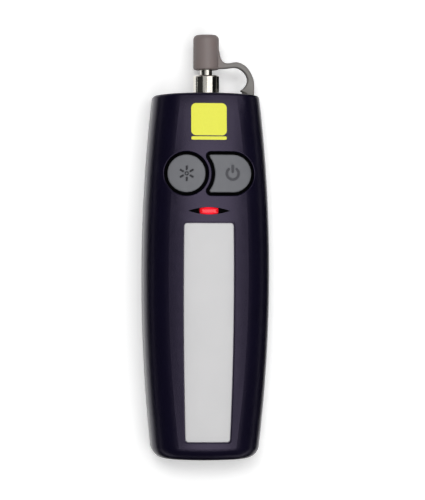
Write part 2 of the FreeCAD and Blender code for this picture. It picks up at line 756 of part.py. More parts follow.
def split_sleeve():
    """The slit ceramic sleeve that lines up the ferrule."""
    top = SHOULDER + D.neck_length - D.neck_lip - D.sleeve_gap
    foot = top - D.sleeve_length + D.sleeve_gap
    tube = turned("sleeve_tube", [
        (D.sleeve_bore, foot), (D.sleeve_radius, foot), (D.sleeve_radius, top),
        (D.sleeve_bore, top),
    ])
    slit = block("sleeve_slit_tool", (-D.sleeve_slit / 2, D.sleeve_slit / 2),
                 (foot - D.neck_lip, top + D.neck_lip), (AXIS, AXIS + D.barrel_radius))
    return cut("sleeve_slit_cut", tube, slit)


def port_nut():
    """The hexagon nut that pulls the barrel against the end wall."""
    face = SHOULDER - D.wall - D.nut_gap
    corner = D.nut_flats / math.sqrt(3)
    owner = new_body("port_nut_body")
    made = new_sketch(owner, "port_nut_outline", "XZ_Plane", -face)
    turns = [(corner * math.cos(math.radians(60 * n)), AXIS + corner * math.sin(math.radians(60 * n)))
             for n in range(6)]
    outline(made, turns)
    pad(owner, made, D.nut_thickness)
    bore = rod("port_nut_bore", D.shank_radius + D.module_gap, D.nut_thickness * 3, 0,
               face - D.nut_thickness * 2, AXIS, Vector(0, 1, 0))
    return cut("port_nut_cut", owner, bore)


def module_front():
    return SHOULDER - D.wall - D.nut_gap - D.nut_thickness - D.holder_step


def diode_holder():
    """The brass holder: it slips over the shank and carries the lens and the laser diode."""
    front = module_front()
    rear = front - D.holder_length
    shank_end = SHOULDER - D.shank_length - D.module_gap
    lens_front = shank_end - D.chamfer
    lens_rear = lens_front - D.lens_thickness - D.module_gap
    flange_front = rear + D.can_flange_thickness + D.module_gap
    can_front = flange_front - D.module_gap + D.can_length + D.chamfer
    return turned("diode_holder_turned", [
        (D.shank_radius + D.module_gap, front), (D.holder_radius - D.chamfer, front),
        (D.holder_radius, front - D.chamfer), (D.holder_radius, rear + D.chamfer),
        (D.holder_radius - D.chamfer, rear), (D.can_flange_radius + D.module_gap, rear),
        (D.can_flange_radius + D.module_gap, flange_front),
        (D.can_radius + D.module_gap, flange_front), (D.can_radius + D.module_gap, can_front),
        (D.sleeve_bore, can_front), (D.sleeve_bore, lens_rear),
        (D.lens_radius + D.module_gap, lens_rear), (D.lens_radius + D.module_gap, shank_end),
        (D.shank_radius + D.module_gap, shank_end),
    ])


def focusing_lens():
    """A biconvex lens: a disc shared by two large spheres."""
    front = SHOULDER - D.shank_length - D.module_gap - D.chamfer
    rear = front - D.lens_thickness
    sag = D.lens_bulge - (D.lens_bulge * D.lens_bulge - D.lens_radius * D.lens_radius).root()
    return turned("focusing_lens_turned", [
        (0, rear, D.lens_bulge, 1), (D.lens_radius, rear + sag),
        (D.lens_radius, front - sag, D.lens_bulge, 1), (0, front),
    ])


def laser_diode():
    """A metal can on a round flange."""
    rear = module_front() - D.holder_length
    flange = rear + D.can_flange_thickness
    return turned("laser_diode_turned", [
        (0, rear), (D.can_flange_radius, rear), (D.can_flange_radius, flange),
        (D.can_radius, flange), (D.can_radius, flange + D.can_length), (0, flange + D.can_length),
    ])


def laser_leads():
    """Three wire legs that leave the can and turn up into the circuit board."""
    rear = module_front() - D.holder_length
    legs = []
    for number in (-1, 0, 1):
        x = D.lead_pitch * number
        run = D.lead_run if number else D.lead_run + D.lead_stagger
        legs.append(joined(
            f"leg_{number + 1}",
            rod(f"leg_run_{number + 1}", D.lead_radius, run, x, rear - run, AXIS, Vector(0, 1, 0)),
            rod(f"leg_rise_{number + 1}", D.lead_radius, D.board_level - AXIS, x, rear - run, AXIS)))
    return group("leads_group", *legs)


# ---------------------------------------------------------------- dust cap and strap

def strap_levels():
    low = SHOULDER + D.barrel_length + D.neck_show + D.strap_lift
    return low, low + D.strap_thickness


def dust_cap():
    """The rubber cup with the root of its strap, as far as the strap's knee."""
    mouth = SHOULDER + D.barrel_length + D.neck_show
    top = SHOULDER + CAP_TOP
    crown = D.cap_top_round
    edge = D.cap_mouth_round
    cup = turned("cap_cup", [
        (D.cap_bore, mouth), (D.cap_radius - edge, mouth, edge, 1),
        (D.cap_radius, mouth + edge), (D.cap_radius, top - crown, crown, 1),
        (D.cap_radius - crown, top), (0, top), (0, top - D.cap_crown),
        (D.cap_bore, top - D.cap_crown),
    ])
    low, high = strap_levels()
    inner = D.cap_bore + (D.cap_radius - D.cap_bore) / 2
    root = prism("cap_root", [
        (inner, low), (KNEE_X, low), (KNEE_X, high),
        (D.cap_radius + D.strap_root, high, D.strap_root, -1),
        (D.cap_radius, high + D.strap_root), (inner, high + D.strap_root),
    ], AXIS - D.strap_depth / 2, AXIS + D.strap_depth / 2)
    bore = rod("cap_bore_tool", D.cap_bore, D.cap_length - D.cap_crown + D.cap_radius, 0,
               mouth - D.cap_radius, AXIS, Vector(0, 1, 0))
    return cut("dust_cap_whole", joined("dust_cap_solid", cup, root), bore)


def cap_strap():
    """The strap past its knee, its flared foot on the end wall and its plug through it."""
    low, high = strap_levels()
    half = D.strap_thickness / 2
    bend_y = (low + high) / 2 - D.strap_bend
    outer = D.strap_bend + half
    inner = D.strap_bend - half
    knee = KNEE_X
    base = SHOULDER - D.wall
    flare_top = SHOULDER + D.foot_rise
    left = knee + inner
    right = knee + outer
    leg = prism("strap_leg", [
        (knee, low, inner, -1), (left, bend_y), (left, flare_top, D.foot_rise, -1),
        (left - D.foot_reach, SHOULDER), (left - D.foot_reach, base),
        (right + D.foot_toe, base), (right + D.foot_toe, SHOULDER), (right, flare_top),
        (right, bend_y, outer, 1), (knee, high),
    ], AXIS - D.strap_depth / 2, AXIS + D.strap_depth / 2)
    seated = cut("strap_seated", leg, OUTER)
    head_top = SHOULDER - D.plug_grip
    head_foot = head_top - D.plug_head_length
    plug = turned("strap_plug", [
        (0, head_foot), (D.plug_radius, head_foot), (D.plug_head, head_top),
        (D.plug_radius, head_top), (D.plug_radius, SHOULDER), (0, SHOULDER),
    ], x=PLUG_X)
    return joined("cap_strap_whole", seated, plug)


# ---------------------------------------------------------------- board and switches

def circuit_board():
    """The board: a main field over the laser module and a tongue down to the cell contacts."""
    wide = D.board_width / 2
    slim = D.tongue_width / 2
    top = SHOULDER - D.board_top
    waist = SHOULDER - D.board_foot
    end = FOOT + D.tongue_end - D.contact_thickness * 2
    blank = prism("board_blank", [
        (-slim, end), (slim, end), (slim, waist), (wide, waist), (wide, top), (-wide, top),
        (-wide, waist), (-slim, waist),
    ], D.board_level, BOARD_TOP)
    return blank


def switch_body(name, x):
    """A low square switch with a round pocket for its stem."""
    middle = SHOULDER - D.button_drop
    half = D.switch_width / 2
    case = block(name + "_case", (x - half, x + half), (middle - half, middle + half),
                 (BOARD_TOP, BOARD_TOP + D.switch_height))
    top = BOARD_TOP + D.switch_height
    pocket = rod(name + "_pocket", D.stem_radius + D.stem_gap, D.pocket_depth * 2, x, middle,
                 top - D.pocket_depth)
    return cut(name + "_cut", case, pocket)


def switch_stem(name, x):
    """The stem, which the button carries down into the switch."""
    return rod(name + "_rod", D.stem_radius, D.stem_height, x, SHOULDER - D.button_drop,
               BOARD_TOP + D.switch_height - D.stem_sunk)


def driver_chip():
    middle = SHOULDER - D.board_foot + D.chip_length
    return block("chip", (-D.chip_length / 2, D.chip_length / 2),
                 (middle - D.chip_width / 2, middle + D.chip_width / 2),
                 (BOARD_TOP, BOARD_TOP + D.chip_height))


def board_parts():
    """The small parts beside the chip: one can capacitor and four resistors."""
    middle = SHOULDER - D.board_foot + D.chip_length
    parts = [rod("capacitor", D.capacitor_radius, D.capacitor_height, -D.capacitor_place, middle,
                 BOARD_TOP)]
    for number in range(RESISTORS):
        start = middle - D.chip_width + D.resistor_pitch * number
        parts.append(block(f"resistor_{number}", (D.chip_length, D.chip_length + D.resistor_length),
                           (start, start + D.resistor_width),
                           (BOARD_TOP, BOARD_TOP + D.resistor_height)))
    return group("board_parts_group", *parts)


# ---------------------------------------------------------------- cells and contacts

CELL_Z = D.wall + D.cell_gap + D.cell_radius
CELL_X = D.cell_pitch / 2
CONTACT_TOP = FOOT + D.contact_foot + D.contact_thickness
BAY_TOP = FOOT + D.tongue_end - D.seat_gap * 2 - D.contact_thickness


def cell(name, x, foot, way):
    """One AA cell; way is 1 with its nub towards the port and -1 towards the foot."""
    body_length = D.cell_length - D.nub_length
    base = foot if way > 0 else foot + D.cell_length
    edge = D.chamfer
    made = turned(name, [
        (0, 0), (D.cell_radius - edge, 0), (D.cell_radius, edge * way),
        (D.cell_radius, (body_length - edge) * way), (D.cell_radius - edge, body_length * way),
        (D.nub_radius, body_length * way), (D.nub_radius, D.cell_length * way),
        (0, D.cell_length * way),
    ], x=x, z=CELL_Z)
    made.setExpression("Placement.Base.y", base.text)
    return made


def leaf(x, plate_foot, plate_top, way, near, far):
    """A flat contact strip that folds back at one end into a bowed leaf spring."""
    thick = D.contact_thickness
    peak = D.contact_spring
    wide = D.contact_width / 2
    outer = wide * way
    base = plate_foot if near else plate_top
    lift = 1 if near else -1
    return [
        (far, base), (outer, base), (outer, base + (thick + D.leaf_foot) * lift),
        (x + D.leaf_flat * way, base + (peak + thick) * lift),
        (x - D.leaf_flat * way, base + (peak + thick) * lift),
        (x - (D.leaf_flat + peak / 2) * way, base + (peak / 2 + thick) * lift),
        (x - (D.leaf_flat + peak / 2 - thick) * way, base + peak / 2 * lift),
        (x - D.leaf_flat * way, base + peak * lift),
        (x + D.leaf_flat * way, base + peak * lift),
        (outer - thick * way, base + (thick * 2 + D.leaf_foot / 2) * lift),
        (outer - thick * way, base + thick * lift), (far, base + thick * lift),
    ]


def foot_contact():
    """The bridge that joins the two cells at the foot, sprung against the left cell."""
    corners = leaf(-CELL_X, FOOT + D.contact_foot, CONTACT_TOP, -1, True, D.contact_width / 2)
    return prism("foot_contact_strip", corners, D.contact_low, D.contact_high)


def tab(name, x):
    """The leg of a contact that reaches up to the underside of the board."""
    return block(name, (x - D.tab_width / 2, x + D.tab_width / 2),
                 (BAY_TOP, BAY_TOP + D.contact_thickness), (D.contact_low, D.board_level))


def minus_contact():
    corners = leaf(CELL_X, BAY_TOP, BAY_TOP + D.contact_thickness, 1, False, D.contact_split / 2)
    strip = prism("minus_strip", corners, D.contact_low, D.contact_high)
    return joined("minus_whole", strip, tab("minus_tab", CELL_X))


def plus_contact():
    strip = block("plus_strip", (-D.contact_width / 2, -D.contact_split / 2),
                  (BAY_TOP, BAY_TOP + D.contact_thickness), (D.contact_low, D.contact_high))
    return joined("plus_whole", strip, tab("plus_tab", -CELL_X))


def case_screws():
    """Four self-tapping screws with cross-slotted pan heads."""
    made = []
    for number, (x, y) in enumerate(SCREWS):
        shank = rod(f"screw_shank_{number}", D.screw_radius, D.screw_length, x, y, HEAD_LEVEL)
        head = rod(f"screw_head_{number}", D.head_radius, D.head_height, x, y, D.head_sink)
        half = D.drive_width / 2
        deep = (D.head_sink, D.head_sink + D.drive_depth)
        long = D.drive_length / 2
        slots = joined(f"screw_drive_{number}",
                       block(f"drive_x_{number}", (x - long, x + long), (y - half, y + half), deep),
                       block(f"drive_y_{number}", (x - half, x + half), (y - long, y + long), deep))
        made.append(cut(f"screw_{number}", joined(f"screw_blank_{number}", shank, head), slots))
    return group("screws_group", *made)


# ---------------------------------------------------------------- nodes

NODES = {
    "front_shell": front_shell,
    "rear_shell": rear_shell,
    "battery_door": battery_door,
    "front_plate": front_plate,
    "blank_sticker": blank_sticker,
    "mode_button": mode_button,
    "power_button": power_button,
    "mode_stem": lambda: switch_stem("mode_stem", -D.round_offset),
    "power_stem": lambda: switch_stem("power_stem", D.dee_offset),
    "mode_switch": lambda: switch_body("mode_switch", -D.round_offset),
    "power_switch": lambda: switch_body("power_switch", D.dee_offset),
    "indicator_lens": indicator_lens,
    "indicator_led": indicator_led,
    "circuit_board": circuit_board,
    "driver_chip": driver_chip,
    "board_parts": board_parts,
    "port_barrel": port_barrel,
    "split_sleeve": split_sleeve,
    "port_nut": port_nut,
    "diode_holder": diode_holder,
    "focusing_lens": focusing_lens,
    "laser_diode": laser_diode,
    "laser_leads": laser_leads,
    "dust_cap": dust_cap,
    "cap_strap": cap_strap,
    "battery_cell_left": lambda: cell("cell_left", -CELL_X, BAY_TOP - D.cell_length, 1),
    "battery_cell_right": lambda: cell("cell_right", CELL_X, CONTACT_TOP, -1),
    "foot_contact": foot_contact,
    "minus_contact": minus_contact,
    "plus_contact": plus_contact,
    "case_screws": case_screws,
}


def write_nodes():
    """Builds every node, checks the whole document, and writes one STEP file for each."""
    built = {}
    for node, build in NODES.items():
        made = build()
        made.Label = node
        built[node] = made
    doc.recompute()
    failed = [item.Name for item in doc.Objects
              if "Invalid" in item.State or "Error" in item.State]
    for node, made in built.items():
        shape = made.Shape
        if shape.isNull() or not shape.isValid() or not shape.Solids:
            failed.append(node)
    if failed:
        raise RuntimeError("failed: " + ", ".join(failed))
    os.makedirs("parts", exist_ok=True)
    for node, made in built.items():
        solids = made.Shape.Solids
        shape = solids[0] if len(solids) == 1 else Part.makeCompound(solids)
        shape.exportStep(f"parts/{node}.step")
        print(f"{node:20s} solids {len(solids)}  volume {shape.Volume:9.1f} mm3")


write_nodes()
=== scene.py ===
# %% [markdown]
# # A visual fault locator
#
# This lesson dresses a hand-held visual fault locator, the small red-light torch that a
# fibre engineer plugs onto a cable to see where it is broken. The solids come ready made
# from the CAD model, in metres, lying on their back: +Z leaves the front face and +Y runs
# to the ferrule port. We load them first, because every later place is read from them.

# %% Load the frame
import math

import bmesh
import bpy
from mathutils import Euler, Matrix, Vector
from mathutils.geometry import delaunay_2d_cdt


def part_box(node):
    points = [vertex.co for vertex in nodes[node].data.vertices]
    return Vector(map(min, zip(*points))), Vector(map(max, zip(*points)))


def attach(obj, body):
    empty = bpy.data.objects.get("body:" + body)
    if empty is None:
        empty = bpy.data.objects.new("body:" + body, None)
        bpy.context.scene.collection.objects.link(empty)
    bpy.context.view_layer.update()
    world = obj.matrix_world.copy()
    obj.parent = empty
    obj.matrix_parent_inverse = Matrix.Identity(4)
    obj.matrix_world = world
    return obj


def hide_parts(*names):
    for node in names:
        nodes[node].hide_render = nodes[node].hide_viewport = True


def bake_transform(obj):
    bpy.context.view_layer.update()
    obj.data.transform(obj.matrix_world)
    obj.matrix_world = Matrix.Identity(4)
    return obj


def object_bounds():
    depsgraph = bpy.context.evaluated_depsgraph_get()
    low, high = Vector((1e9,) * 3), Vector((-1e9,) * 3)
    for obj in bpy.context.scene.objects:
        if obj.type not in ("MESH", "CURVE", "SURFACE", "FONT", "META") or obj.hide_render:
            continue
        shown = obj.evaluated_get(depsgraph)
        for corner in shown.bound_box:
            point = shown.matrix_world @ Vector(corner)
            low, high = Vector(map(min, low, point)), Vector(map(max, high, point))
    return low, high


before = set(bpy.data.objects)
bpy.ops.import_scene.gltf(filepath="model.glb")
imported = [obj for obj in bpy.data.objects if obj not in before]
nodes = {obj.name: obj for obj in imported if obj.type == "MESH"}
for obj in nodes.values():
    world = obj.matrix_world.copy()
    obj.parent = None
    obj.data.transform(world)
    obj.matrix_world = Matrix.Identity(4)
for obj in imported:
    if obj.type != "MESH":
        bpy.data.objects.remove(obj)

cad_box = [list(corner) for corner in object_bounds()]
print("CAD nodes:", len(nodes), "box in mm:", [[round(1000 * v, 2) for v in c] for c in cad_box])

# %% [markdown]
# ## Numbers in millimetres
#
# The drawing of the real tester is in millimetres and Blender works in metres. One factor
# turns the first into the second, so each size can be written as it is on the drawing. The
# landmarks below are read from the CAD pieces themselves, and so they can't drift from them.

# %% Units and landmarks
MM = 0.001
BARREL_RADIUS = 4.33
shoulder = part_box("rear_shell")[1].y / MM
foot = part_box("rear_shell")[0].y / MM
port_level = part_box("port_barrel")[0].z / MM + BARREL_RADIUS
print("shoulder", round(shoulder, 2), "foot", round(foot, 2), "port level", round(port_level, 2))

# %% [markdown]
# ## The form of the housing
#
# Everything on the front face follows its double curve: a shallow crown from side to side and
# a slow swell from end to end. Measuring the CAD mesh at each point would work, but the form
# is a simple one, so it is written as a formula: a quadratic through the half width and the
# height at the top, the middle and the foot, with a crown of 60 mm and shoulders of 10 mm.
# The formula runs on by a spare half millimetre past both ends. The last line compares it with
# the CAD sticker, which lies a little proud of the face.

# %% Height of the front face
HALF_WIDTHS = (17.5, 21.0, 17.35)
HEIGHTS = (22.5, 25.5, 22.0)
CROWN = 60.0
SHOULDER_ROUND = 10.0
LOFT_SPARE = 0.5
STICKER_PROUD = 0.15


def along(y, sizes):
    """A size at a place along the housing, from its values at the top, middle and foot."""
    s = (shoulder + LOFT_SPARE - y) / (shoulder - foot + 2 * LOFT_SPARE)
    top, middle, low = sizes
    return top * (1 - s) * (1 - 2 * s) + 4 * middle * s * (1 - s) + low * s * (2 * s - 1)


def face_height(x, y, proud=0.0):
    """Height of the front face over a point in plan, or of a skin proud of it."""
    side = along(y, HALF_WIDTHS) - SHOULDER_ROUND
    base = along(y, HEIGHTS) - CROWN
    if abs(x) <= side * CROWN / (CROWN - SHOULDER_ROUND):
        return base + math.sqrt((CROWN + proud) ** 2 - x ** 2)
    lift = base + math.sqrt((CROWN - SHOULDER_ROUND) ** 2 - side ** 2)
    return lift + math.sqrt(max((SHOULDER_ROUND + proud) ** 2 - (abs(x) - side) ** 2, 0))


def under_face(depth):
    """A height function that lies a depth under the front face."""
    return lambda x, y: face_height(x, y) - depth


sticker_top = max((v.co for v in nodes["blank_sticker"].data.vertices), key=lambda c: c.z) / MM
print("sticker", round(sticker_top.z, 3), "formula",
      round(face_height(sticker_top.x, sticker_top.y, STICKER_PROUD), 3))

# %% [markdown]
# ## Small tools for materials
#
# Colours are picked as sRGB hex values, but a shader works in linear light, so one function
# turns the first into the second. The next adds a node, sets its properties, and fills each
# input with a value or with a link from an earlier node. Four more add the nodes that most
# finishes need: a calculation, a change of range, a mix of two colours and a noise. The last
# ones start a material, end it, and find the shader of a finished one again, to add to it.


# %% Colour and node helpers
def linear(code):
    """An sRGB hex colour as linear RGBA."""
    parts = [int(code[i:i + 2], 16) / 255 for i in (1, 3, 5)]
    return [p / 12.92 if p <= 0.04045 else ((p + 0.055) / 1.055) ** 2.4 for p in parts] + [1.0]


def put(tree, kind, inputs=None, **settings):
    """Adds a shader node; an input is a plain value or an output socket to link from."""
    node = tree.nodes.new("ShaderNode" + kind)
    for name, value in settings.items():
        setattr(node, name, value)
    for name, value in (inputs or {}).items():
        if isinstance(value, bpy.types.NodeSocket):
            tree.links.new(value, node.inputs[name])
        else:
            node.inputs[name].default_value = value
    return node


def compute(tree, operation, *values, kind="Math", output=0):
    """The result of a calculation on numbers, or on vectors with VectorMath."""
    return put(tree, kind, dict(enumerate(values)), operation=operation).outputs[output]


def spread(tree, value, low, high, first, last):
    """A value's range from low to high, spread over the range from first to last."""
    return put(tree, "MapRange", {"Value": value, "From Min": low, "From Max": high,
                                  "To Min": first, "To Max": last}).outputs[0]


def mixed(tree, share, first, second):
    """Two colours mixed by a share from 0 to 1."""
    return put(tree, "Mix", {0: share, 6: first, 7: second}, data_type="RGBA").outputs[2]


def noise(tree, place, size, detail=2.0):
    """A cloudy pattern with patches of about a size in millimetres."""
    return put(tree, "TexNoise", {"Vector": place, "Scale": 1 / (size * MM),
                                  "Detail": detail}).outputs["Fac"]


def new_material(name):
    """An empty node material, and the tree to build it in."""
    material = bpy.data.materials.new(name)
    material.use_nodes = True
    material.node_tree.nodes.clear()
    return material, material.node_tree


def surface(tree, shader):
    """Ends a material: the shader goes to the output."""
    put(tree, "OutputMaterial", {"Surface": shader.outputs[0]})


def shader_of(tree):
    """The Principled shader of a finished material."""
    return next(node for node in tree.nodes if node.type == "BSDF_PRINCIPLED")


print("white is", linear("#ffffff")[:3])

# %% [markdown]
# ## Moulded, turned and coated finishes
#
# Most parts of the tester differ in only a few ways: their tone, how large the cloudy patches
# in that tone are, how fine the grain of the tool is, and how rough the skin is. A single
# function can therefore build them all. The alternative is a separate node tree for each,
# which would hide how alike they are. Every size is in millimetres on the real part, and the
# noise textures are scaled from it. A noise seldom leaves the range from 0.3 to 0.7, so that
# range alone is spread over the roughness.

# %% The grained finish
NOISE_LOW, NOISE_HIGH = 0.3, 0.7


def grained(name, tones, patch, grain, relief, rough, stretch=(1, 1, 1), **constants):
    """Two close tones in patches, a fine grain in the roughness, and that grain as relief."""
    material, tree = new_material(name)
    place = put(tree, "TexCoord").outputs["Object"]
    run = put(tree, "Mapping", {"Vector": place, "Scale": stretch}).outputs[0]
    tone = mixed(tree, noise(tree, run, patch), linear(tones[0]), linear(tones[1]))
    fine = noise(tree, run, grain, detail=3.0)
    skin = spread(tree, fine, NOISE_LOW, NOISE_HIGH, *rough)
    bump = put(tree, "Bump", {"Height": fine, "Distance": relief * MM, "Strength": 1.0})
    shader = put(tree, "BsdfPrincipled", {"Base Color": tone, "Roughness": skin,
                                          "Normal": bump.outputs[0], **constants})
    surface(tree, shader)
    print("finish:", name)
    return material


def dress(material, *names):
    """Gives a material to CAD pieces."""
    for name in names:
        piece = nodes[name]
        if not piece.material_slots:
            piece.data.materials.append(None)
        for place in piece.material_slots:
            place.material = material
    print(material.name, "->", ", ".join(names))


print("a grain of 0.2 mm is a noise scale of", round(1 / (0.2 * MM)))

# %% [markdown]
# The housing is ABS, injection moulded and sprayed with a soft-touch polyurethane paint. The
# paint is a nearly black aubergine with broad, blurred highlights, weaker than a bare plastic's
# and a little violet. The printed sticker shares that sheen. The buttons are silicone rubber
# and the cap is a softer thermoplastic rubber: both scatter light evenly, and the tool leaves
# a spark-eroded grain of about 0.2 mm on them. The engraved symbols are filled with painted
# shade: dark in the rays, and paler in the power sign.

# %% Painted housing
PAINT_SHEEN = {"Specular IOR Level": 0.36, "Specular Tint": linear("#e8d8ff")}
soft_touch_paint = grained("soft_touch_paint_on_abs", ("#0a0818", "#0e0b1e"), patch=7, grain=0.25,
                           relief=0.002, rough=(0.27, 0.33), IOR=1.5, **PAINT_SHEEN)
dress(soft_touch_paint, "front_shell", "rear_shell", "battery_door")

# %% Rubbers of the keypad and the cap, and painted shade for the engraved strokes
grey_silicone = grained("moulded_silicone_rubber", ("#6c6d72", "#75767a"), patch=3, grain=0.2,
                        relief=0.006, rough=(0.5, 0.62), IOR=1.41)
# Black silicone below the rim; its black is also painted shade in the gap round each button.
black_silicone_and_shade = grained("black_silicone_rubber_and_painted_shade", ("#050507", "#08080a"), patch=3, grain=0.2,
                         relief=0.006, rough=(0.7, 0.8), IOR=1.41,
                         **{"Specular IOR Level": 0.2})

soft_rubber = grained("moulded_thermoplastic_rubber", ("#80716f", "#7b7472"), patch=4, grain=0.22,
                      relief=0.008, rough=(0.48, 0.6), IOR=1.5)

# Painted shade for the engraved strokes: dark in the rays, paler in the power sign.
dark_stroke_shade = grained("painted_shade_in_dark_strokes", ("#242428", "#2c2c30"), patch=1, grain=0.15,
                     relief=0.002, rough=(0.55, 0.7), IOR=1.41)
pale_stroke_shade = grained("painted_shade_in_pale_strokes", ("#434348", "#4e4e53"), patch=0.6, grain=0.15,
                   relief=0.002, rough=(0.5, 0.65), IOR=1.41)

# %% [markdown]
# The front plate is faced with silver polyester film, which scatters light as a paint does.
# Inside, the switches, their stems and the packages on the board are black glass-filled nylon,
# the split sleeve is ground zirconia, and the indicator's lamp is cast in yellowish epoxy.

# %% Film, nylon, ceramic and epoxy
silver_film = grained("silver_polyester_film", ("#cacacb", "#d2d1d2"), patch=12, grain=0.15,
                      relief=0.002, rough=(0.36, 0.46), IOR=1.57)

switch_nylon = grained("glass_filled_nylon", ("#18181a", "#212124"), patch=1, grain=0.12,
                       relief=0.004, rough=(0.45, 0.6), IOR=1.53)
dress(switch_nylon, "mode_switch", "power_switch", "mode_stem", "power_stem", "driver_chip",
      "board_parts")

zirconia = grained("ground_zirconia", ("#eeece4", "#f4f3ee"), patch=2, grain=0.1,
                   relief=0.001, rough=(0.18, 0.28), IOR=2.1)
dress(zirconia, "split_sleeve")

lamp_resin = grained("cast_epoxy", ("#e6dcb8", "#efe7cb"), patch=1, grain=0.2,
                     relief=0.002, rough=(0.2, 0.3), IOR=1.53)
dress(lamp_resin, "indicator_led")

# %% [markdown]
# Metals keep their default IOR, because their colour already carries the reflectance. The
# barrel is brass, turned and then nickel plated: bright, faintly yellow, with fine lathe
# lines round its axis. The lines are noise squeezed along Y. The holder and the nut are bare
# brass, the screws zinc-plated steel, and the contacts nickel-plated spring strip.

# %% Metals
nickel_plate = grained("nickel_plate_on_turned_brass", ("#dcd8d0", "#e6e3dc"), patch=3, grain=0.3,
                       relief=0.0008, rough=(0.1, 0.17), stretch=(0.25, 3, 0.25), Metallic=1.0)
dress(nickel_plate, "port_barrel")

turned_brass = grained("turned_brass", ("#c6a05a", "#d4b06c"), patch=3, grain=0.3,
                       relief=0.001, rough=(0.22, 0.34), stretch=(0.25, 3, 0.25), Metallic=1.0)
dress(turned_brass, "port_nut", "diode_holder")

zinc_plate = grained("zinc_plate_on_steel", ("#a3a5aa", "#b3b4b8"), patch=1.5, grain=0.15,
                     relief=0.002, rough=(0.25, 0.4), Metallic=1.0)
dress(zinc_plate, "case_screws", "laser_diode")

spring_strip = grained("nickel_plated_spring_strip", ("#b8b5ae", "#c4c2bc"), patch=2, grain=0.12,
                       relief=0.001, rough=(0.2, 0.32), stretch=(4, 0.5, 4), Metallic=1.0)
dress(spring_strip, "foot_contact", "minus_contact", "plus_contact", "laser_leads")

# %% [markdown]
# ## Clear parts
#
# The focusing lens is ground glass. The indicator is a light pipe of transparent red acrylic
# over its lamp. Seen in daylight such a pipe is a strong, even red with a hard gloss. It is
# made as coloured scatter with a smooth skin and a painted red glow, since the lens gives light
# though it is no lamp; the glow is tied to the lens further down, where its place is known.
# The black sheet beside it, so matt that it hardly reflects, is painted shade.

# %% Glass, black shade sheet and acrylic with a painted glow
optic_glass = grained("ground_optical_glass", ("#f4f8f8", "#ffffff"), patch=4, grain=0.5,
                      relief=0.0002, rough=(0.0, 0.02), IOR=1.52,
                      **{"Transmission Weight": 1.0})
dress(optic_glass, "focusing_lens")

# A near black, very matt sheet that stands in as painted shade in the eye's pockets.
pocket_shade_black = grained("painted_shade_black_sheet", ("#020203", "#040405"), patch=1, grain=0.3,
                     relief=0.01, rough=(0.85, 0.95), IOR=1.4,
                     **{"Specular IOR Level": 0.1})

# Red acrylic with a painted glow: its Emission Color makes the lens give light, though it is no
# lamp.
red_acrylic = grained("transparent_red_acrylic", ("#e3101c", "#ee1c28"), patch=2, grain=0.6,
                      relief=0.0004, rough=(0.06, 0.12), IOR=1.49,
                      **{"Specular IOR Level": 0.35, "Emission Color": linear("#ff2038")})

# %% [markdown]
# ## Making a mesh from rings
#
# The buttons, the front plate and the lens are all made the same way. A flat outline is drawn
# in plan, and rings of it are stacked from the bottom up, each grown or shrunk a little, so
# that the last few roll over the edge as a soft round. The inside of the last ring is filled
# with points that follow the face, which is where a dome or an engraving can be put. A
# cylinder with a bevel would be quicker, but its top is flat and the real one isn't.


# %% Arcs and grids of points
def arc(x, y, radius, start, end, count):
    """Points of an arc in plan, from one angle to another in degrees, both included."""
    turns = [math.radians(start + (end - start) * k / (count - 1)) for k in range(count)]
    return [(x + radius * math.cos(a), y + radius * math.sin(a)) for a in turns]


def inside(ring, x, y):
    """True where a point in plan lies inside a closed ring."""
    crossings = 0
    for (x0, y0), (x1, y1) in zip(ring, ring[1:] + ring[:1]):
        if (y0 > y) != (y1 > y) and x < x0 + (y - y0) * (x1 - x0) / (y1 - y0):
            crossings += 1
    return crossings % 2 == 1


def grid(ring, pitch, margin):
    """Points of a square grid inside a ring, kept off its edge by a margin."""
    xs, ys = [p[0] for p in ring], [p[1] for p in ring]
    found = []
    for column in range(int((max(xs) - min(xs)) / pitch) + 1):
        for row in range(int((max(ys) - min(ys)) / pitch) + 1):
            x, y = min(xs) + column * pitch, min(ys) + row * pitch
            if inside(ring, x, y) and min(math.dist((x, y), spot) for spot in ring) > margin:
                found.append((x, y))
    return found


print("grid points in an octagon:", len(grid(arc(0, 0, 1, 0, 360, 9)[:-1], 0.2, 0.1)))


# %% Rings and a filled face
INSIDE_ONLY = 1
WELD = 1e-6


def add_object(name, data):
    """A new object in the scene, from its mesh, curve, lamp or camera data."""
    made = bpy.data.objects.new(name, data)
    bpy.context.scene.collection.objects.link(made)
    return made


def add_piece(name, points, faces, *finishes):
    """A smooth-shaded mesh in the frame's millimetres; each face may carry a finish number."""
    mesh = bpy.data.meshes.new(name)
    mesh.from_pydata([[v * MM for v in point] for point in points], [], [f for f, _ in faces])
    mesh.polygons.foreach_set("material_index", [number for _, number in faces])
    mesh.polygons.foreach_set("use_smooth", [True] * len(faces))
    for finish in finishes:
        mesh.materials.append(finish)
    mesh.validate()
    print(name, "has", len(mesh.polygons), "faces")
    return add_object(name, mesh)


def stack(outline, steps):
    """Rings of an outline joined by quads. A step is (grow, height function, finish number)."""
    points, faces = [], []
    for number, (grow, height, finish) in enumerate(steps):
        ring = outline(grow)
        count = len(ring)
        points += [(x, y, height(x, y)) for x, y in ring]
        if number:
            base = (number - 1) * count
            faces += [((base + i, base + (i + 1) % count, base + count + (i + 1) % count,
                        base + count + i), finish) for i in range(count)]
    return points, faces, ring


def fill(points, faces, ring, extra, height, finish):
    """Closes the last ring with a face through extra points; finish may depend on the place."""
    flat = [Vector(spot) for spot in ring] + [Vector(spot) for spot in extra]
    border = [list(range(len(ring)))]
    spots, _, cells, origins, _, _ = delaunay_2d_cdt(flat, [], border, INSIDE_ONLY, WELD)
    first = len(points) - len(ring)
    index = []
    for spot, origin in zip(spots, origins):
        if origin and origin[0] < len(ring):
            index.append(first + origin[0])
        else:
            index.append(len(points))
            points.append((spot.x, spot.y, height(spot.x, spot.y)))
    for cell in cells:
        middle = sum((spots[i] for i in cell), Vector((0, 0))) / len(cell)
        faces.append((tuple(index[i] for i in cell), finish(middle.x, middle.y)))


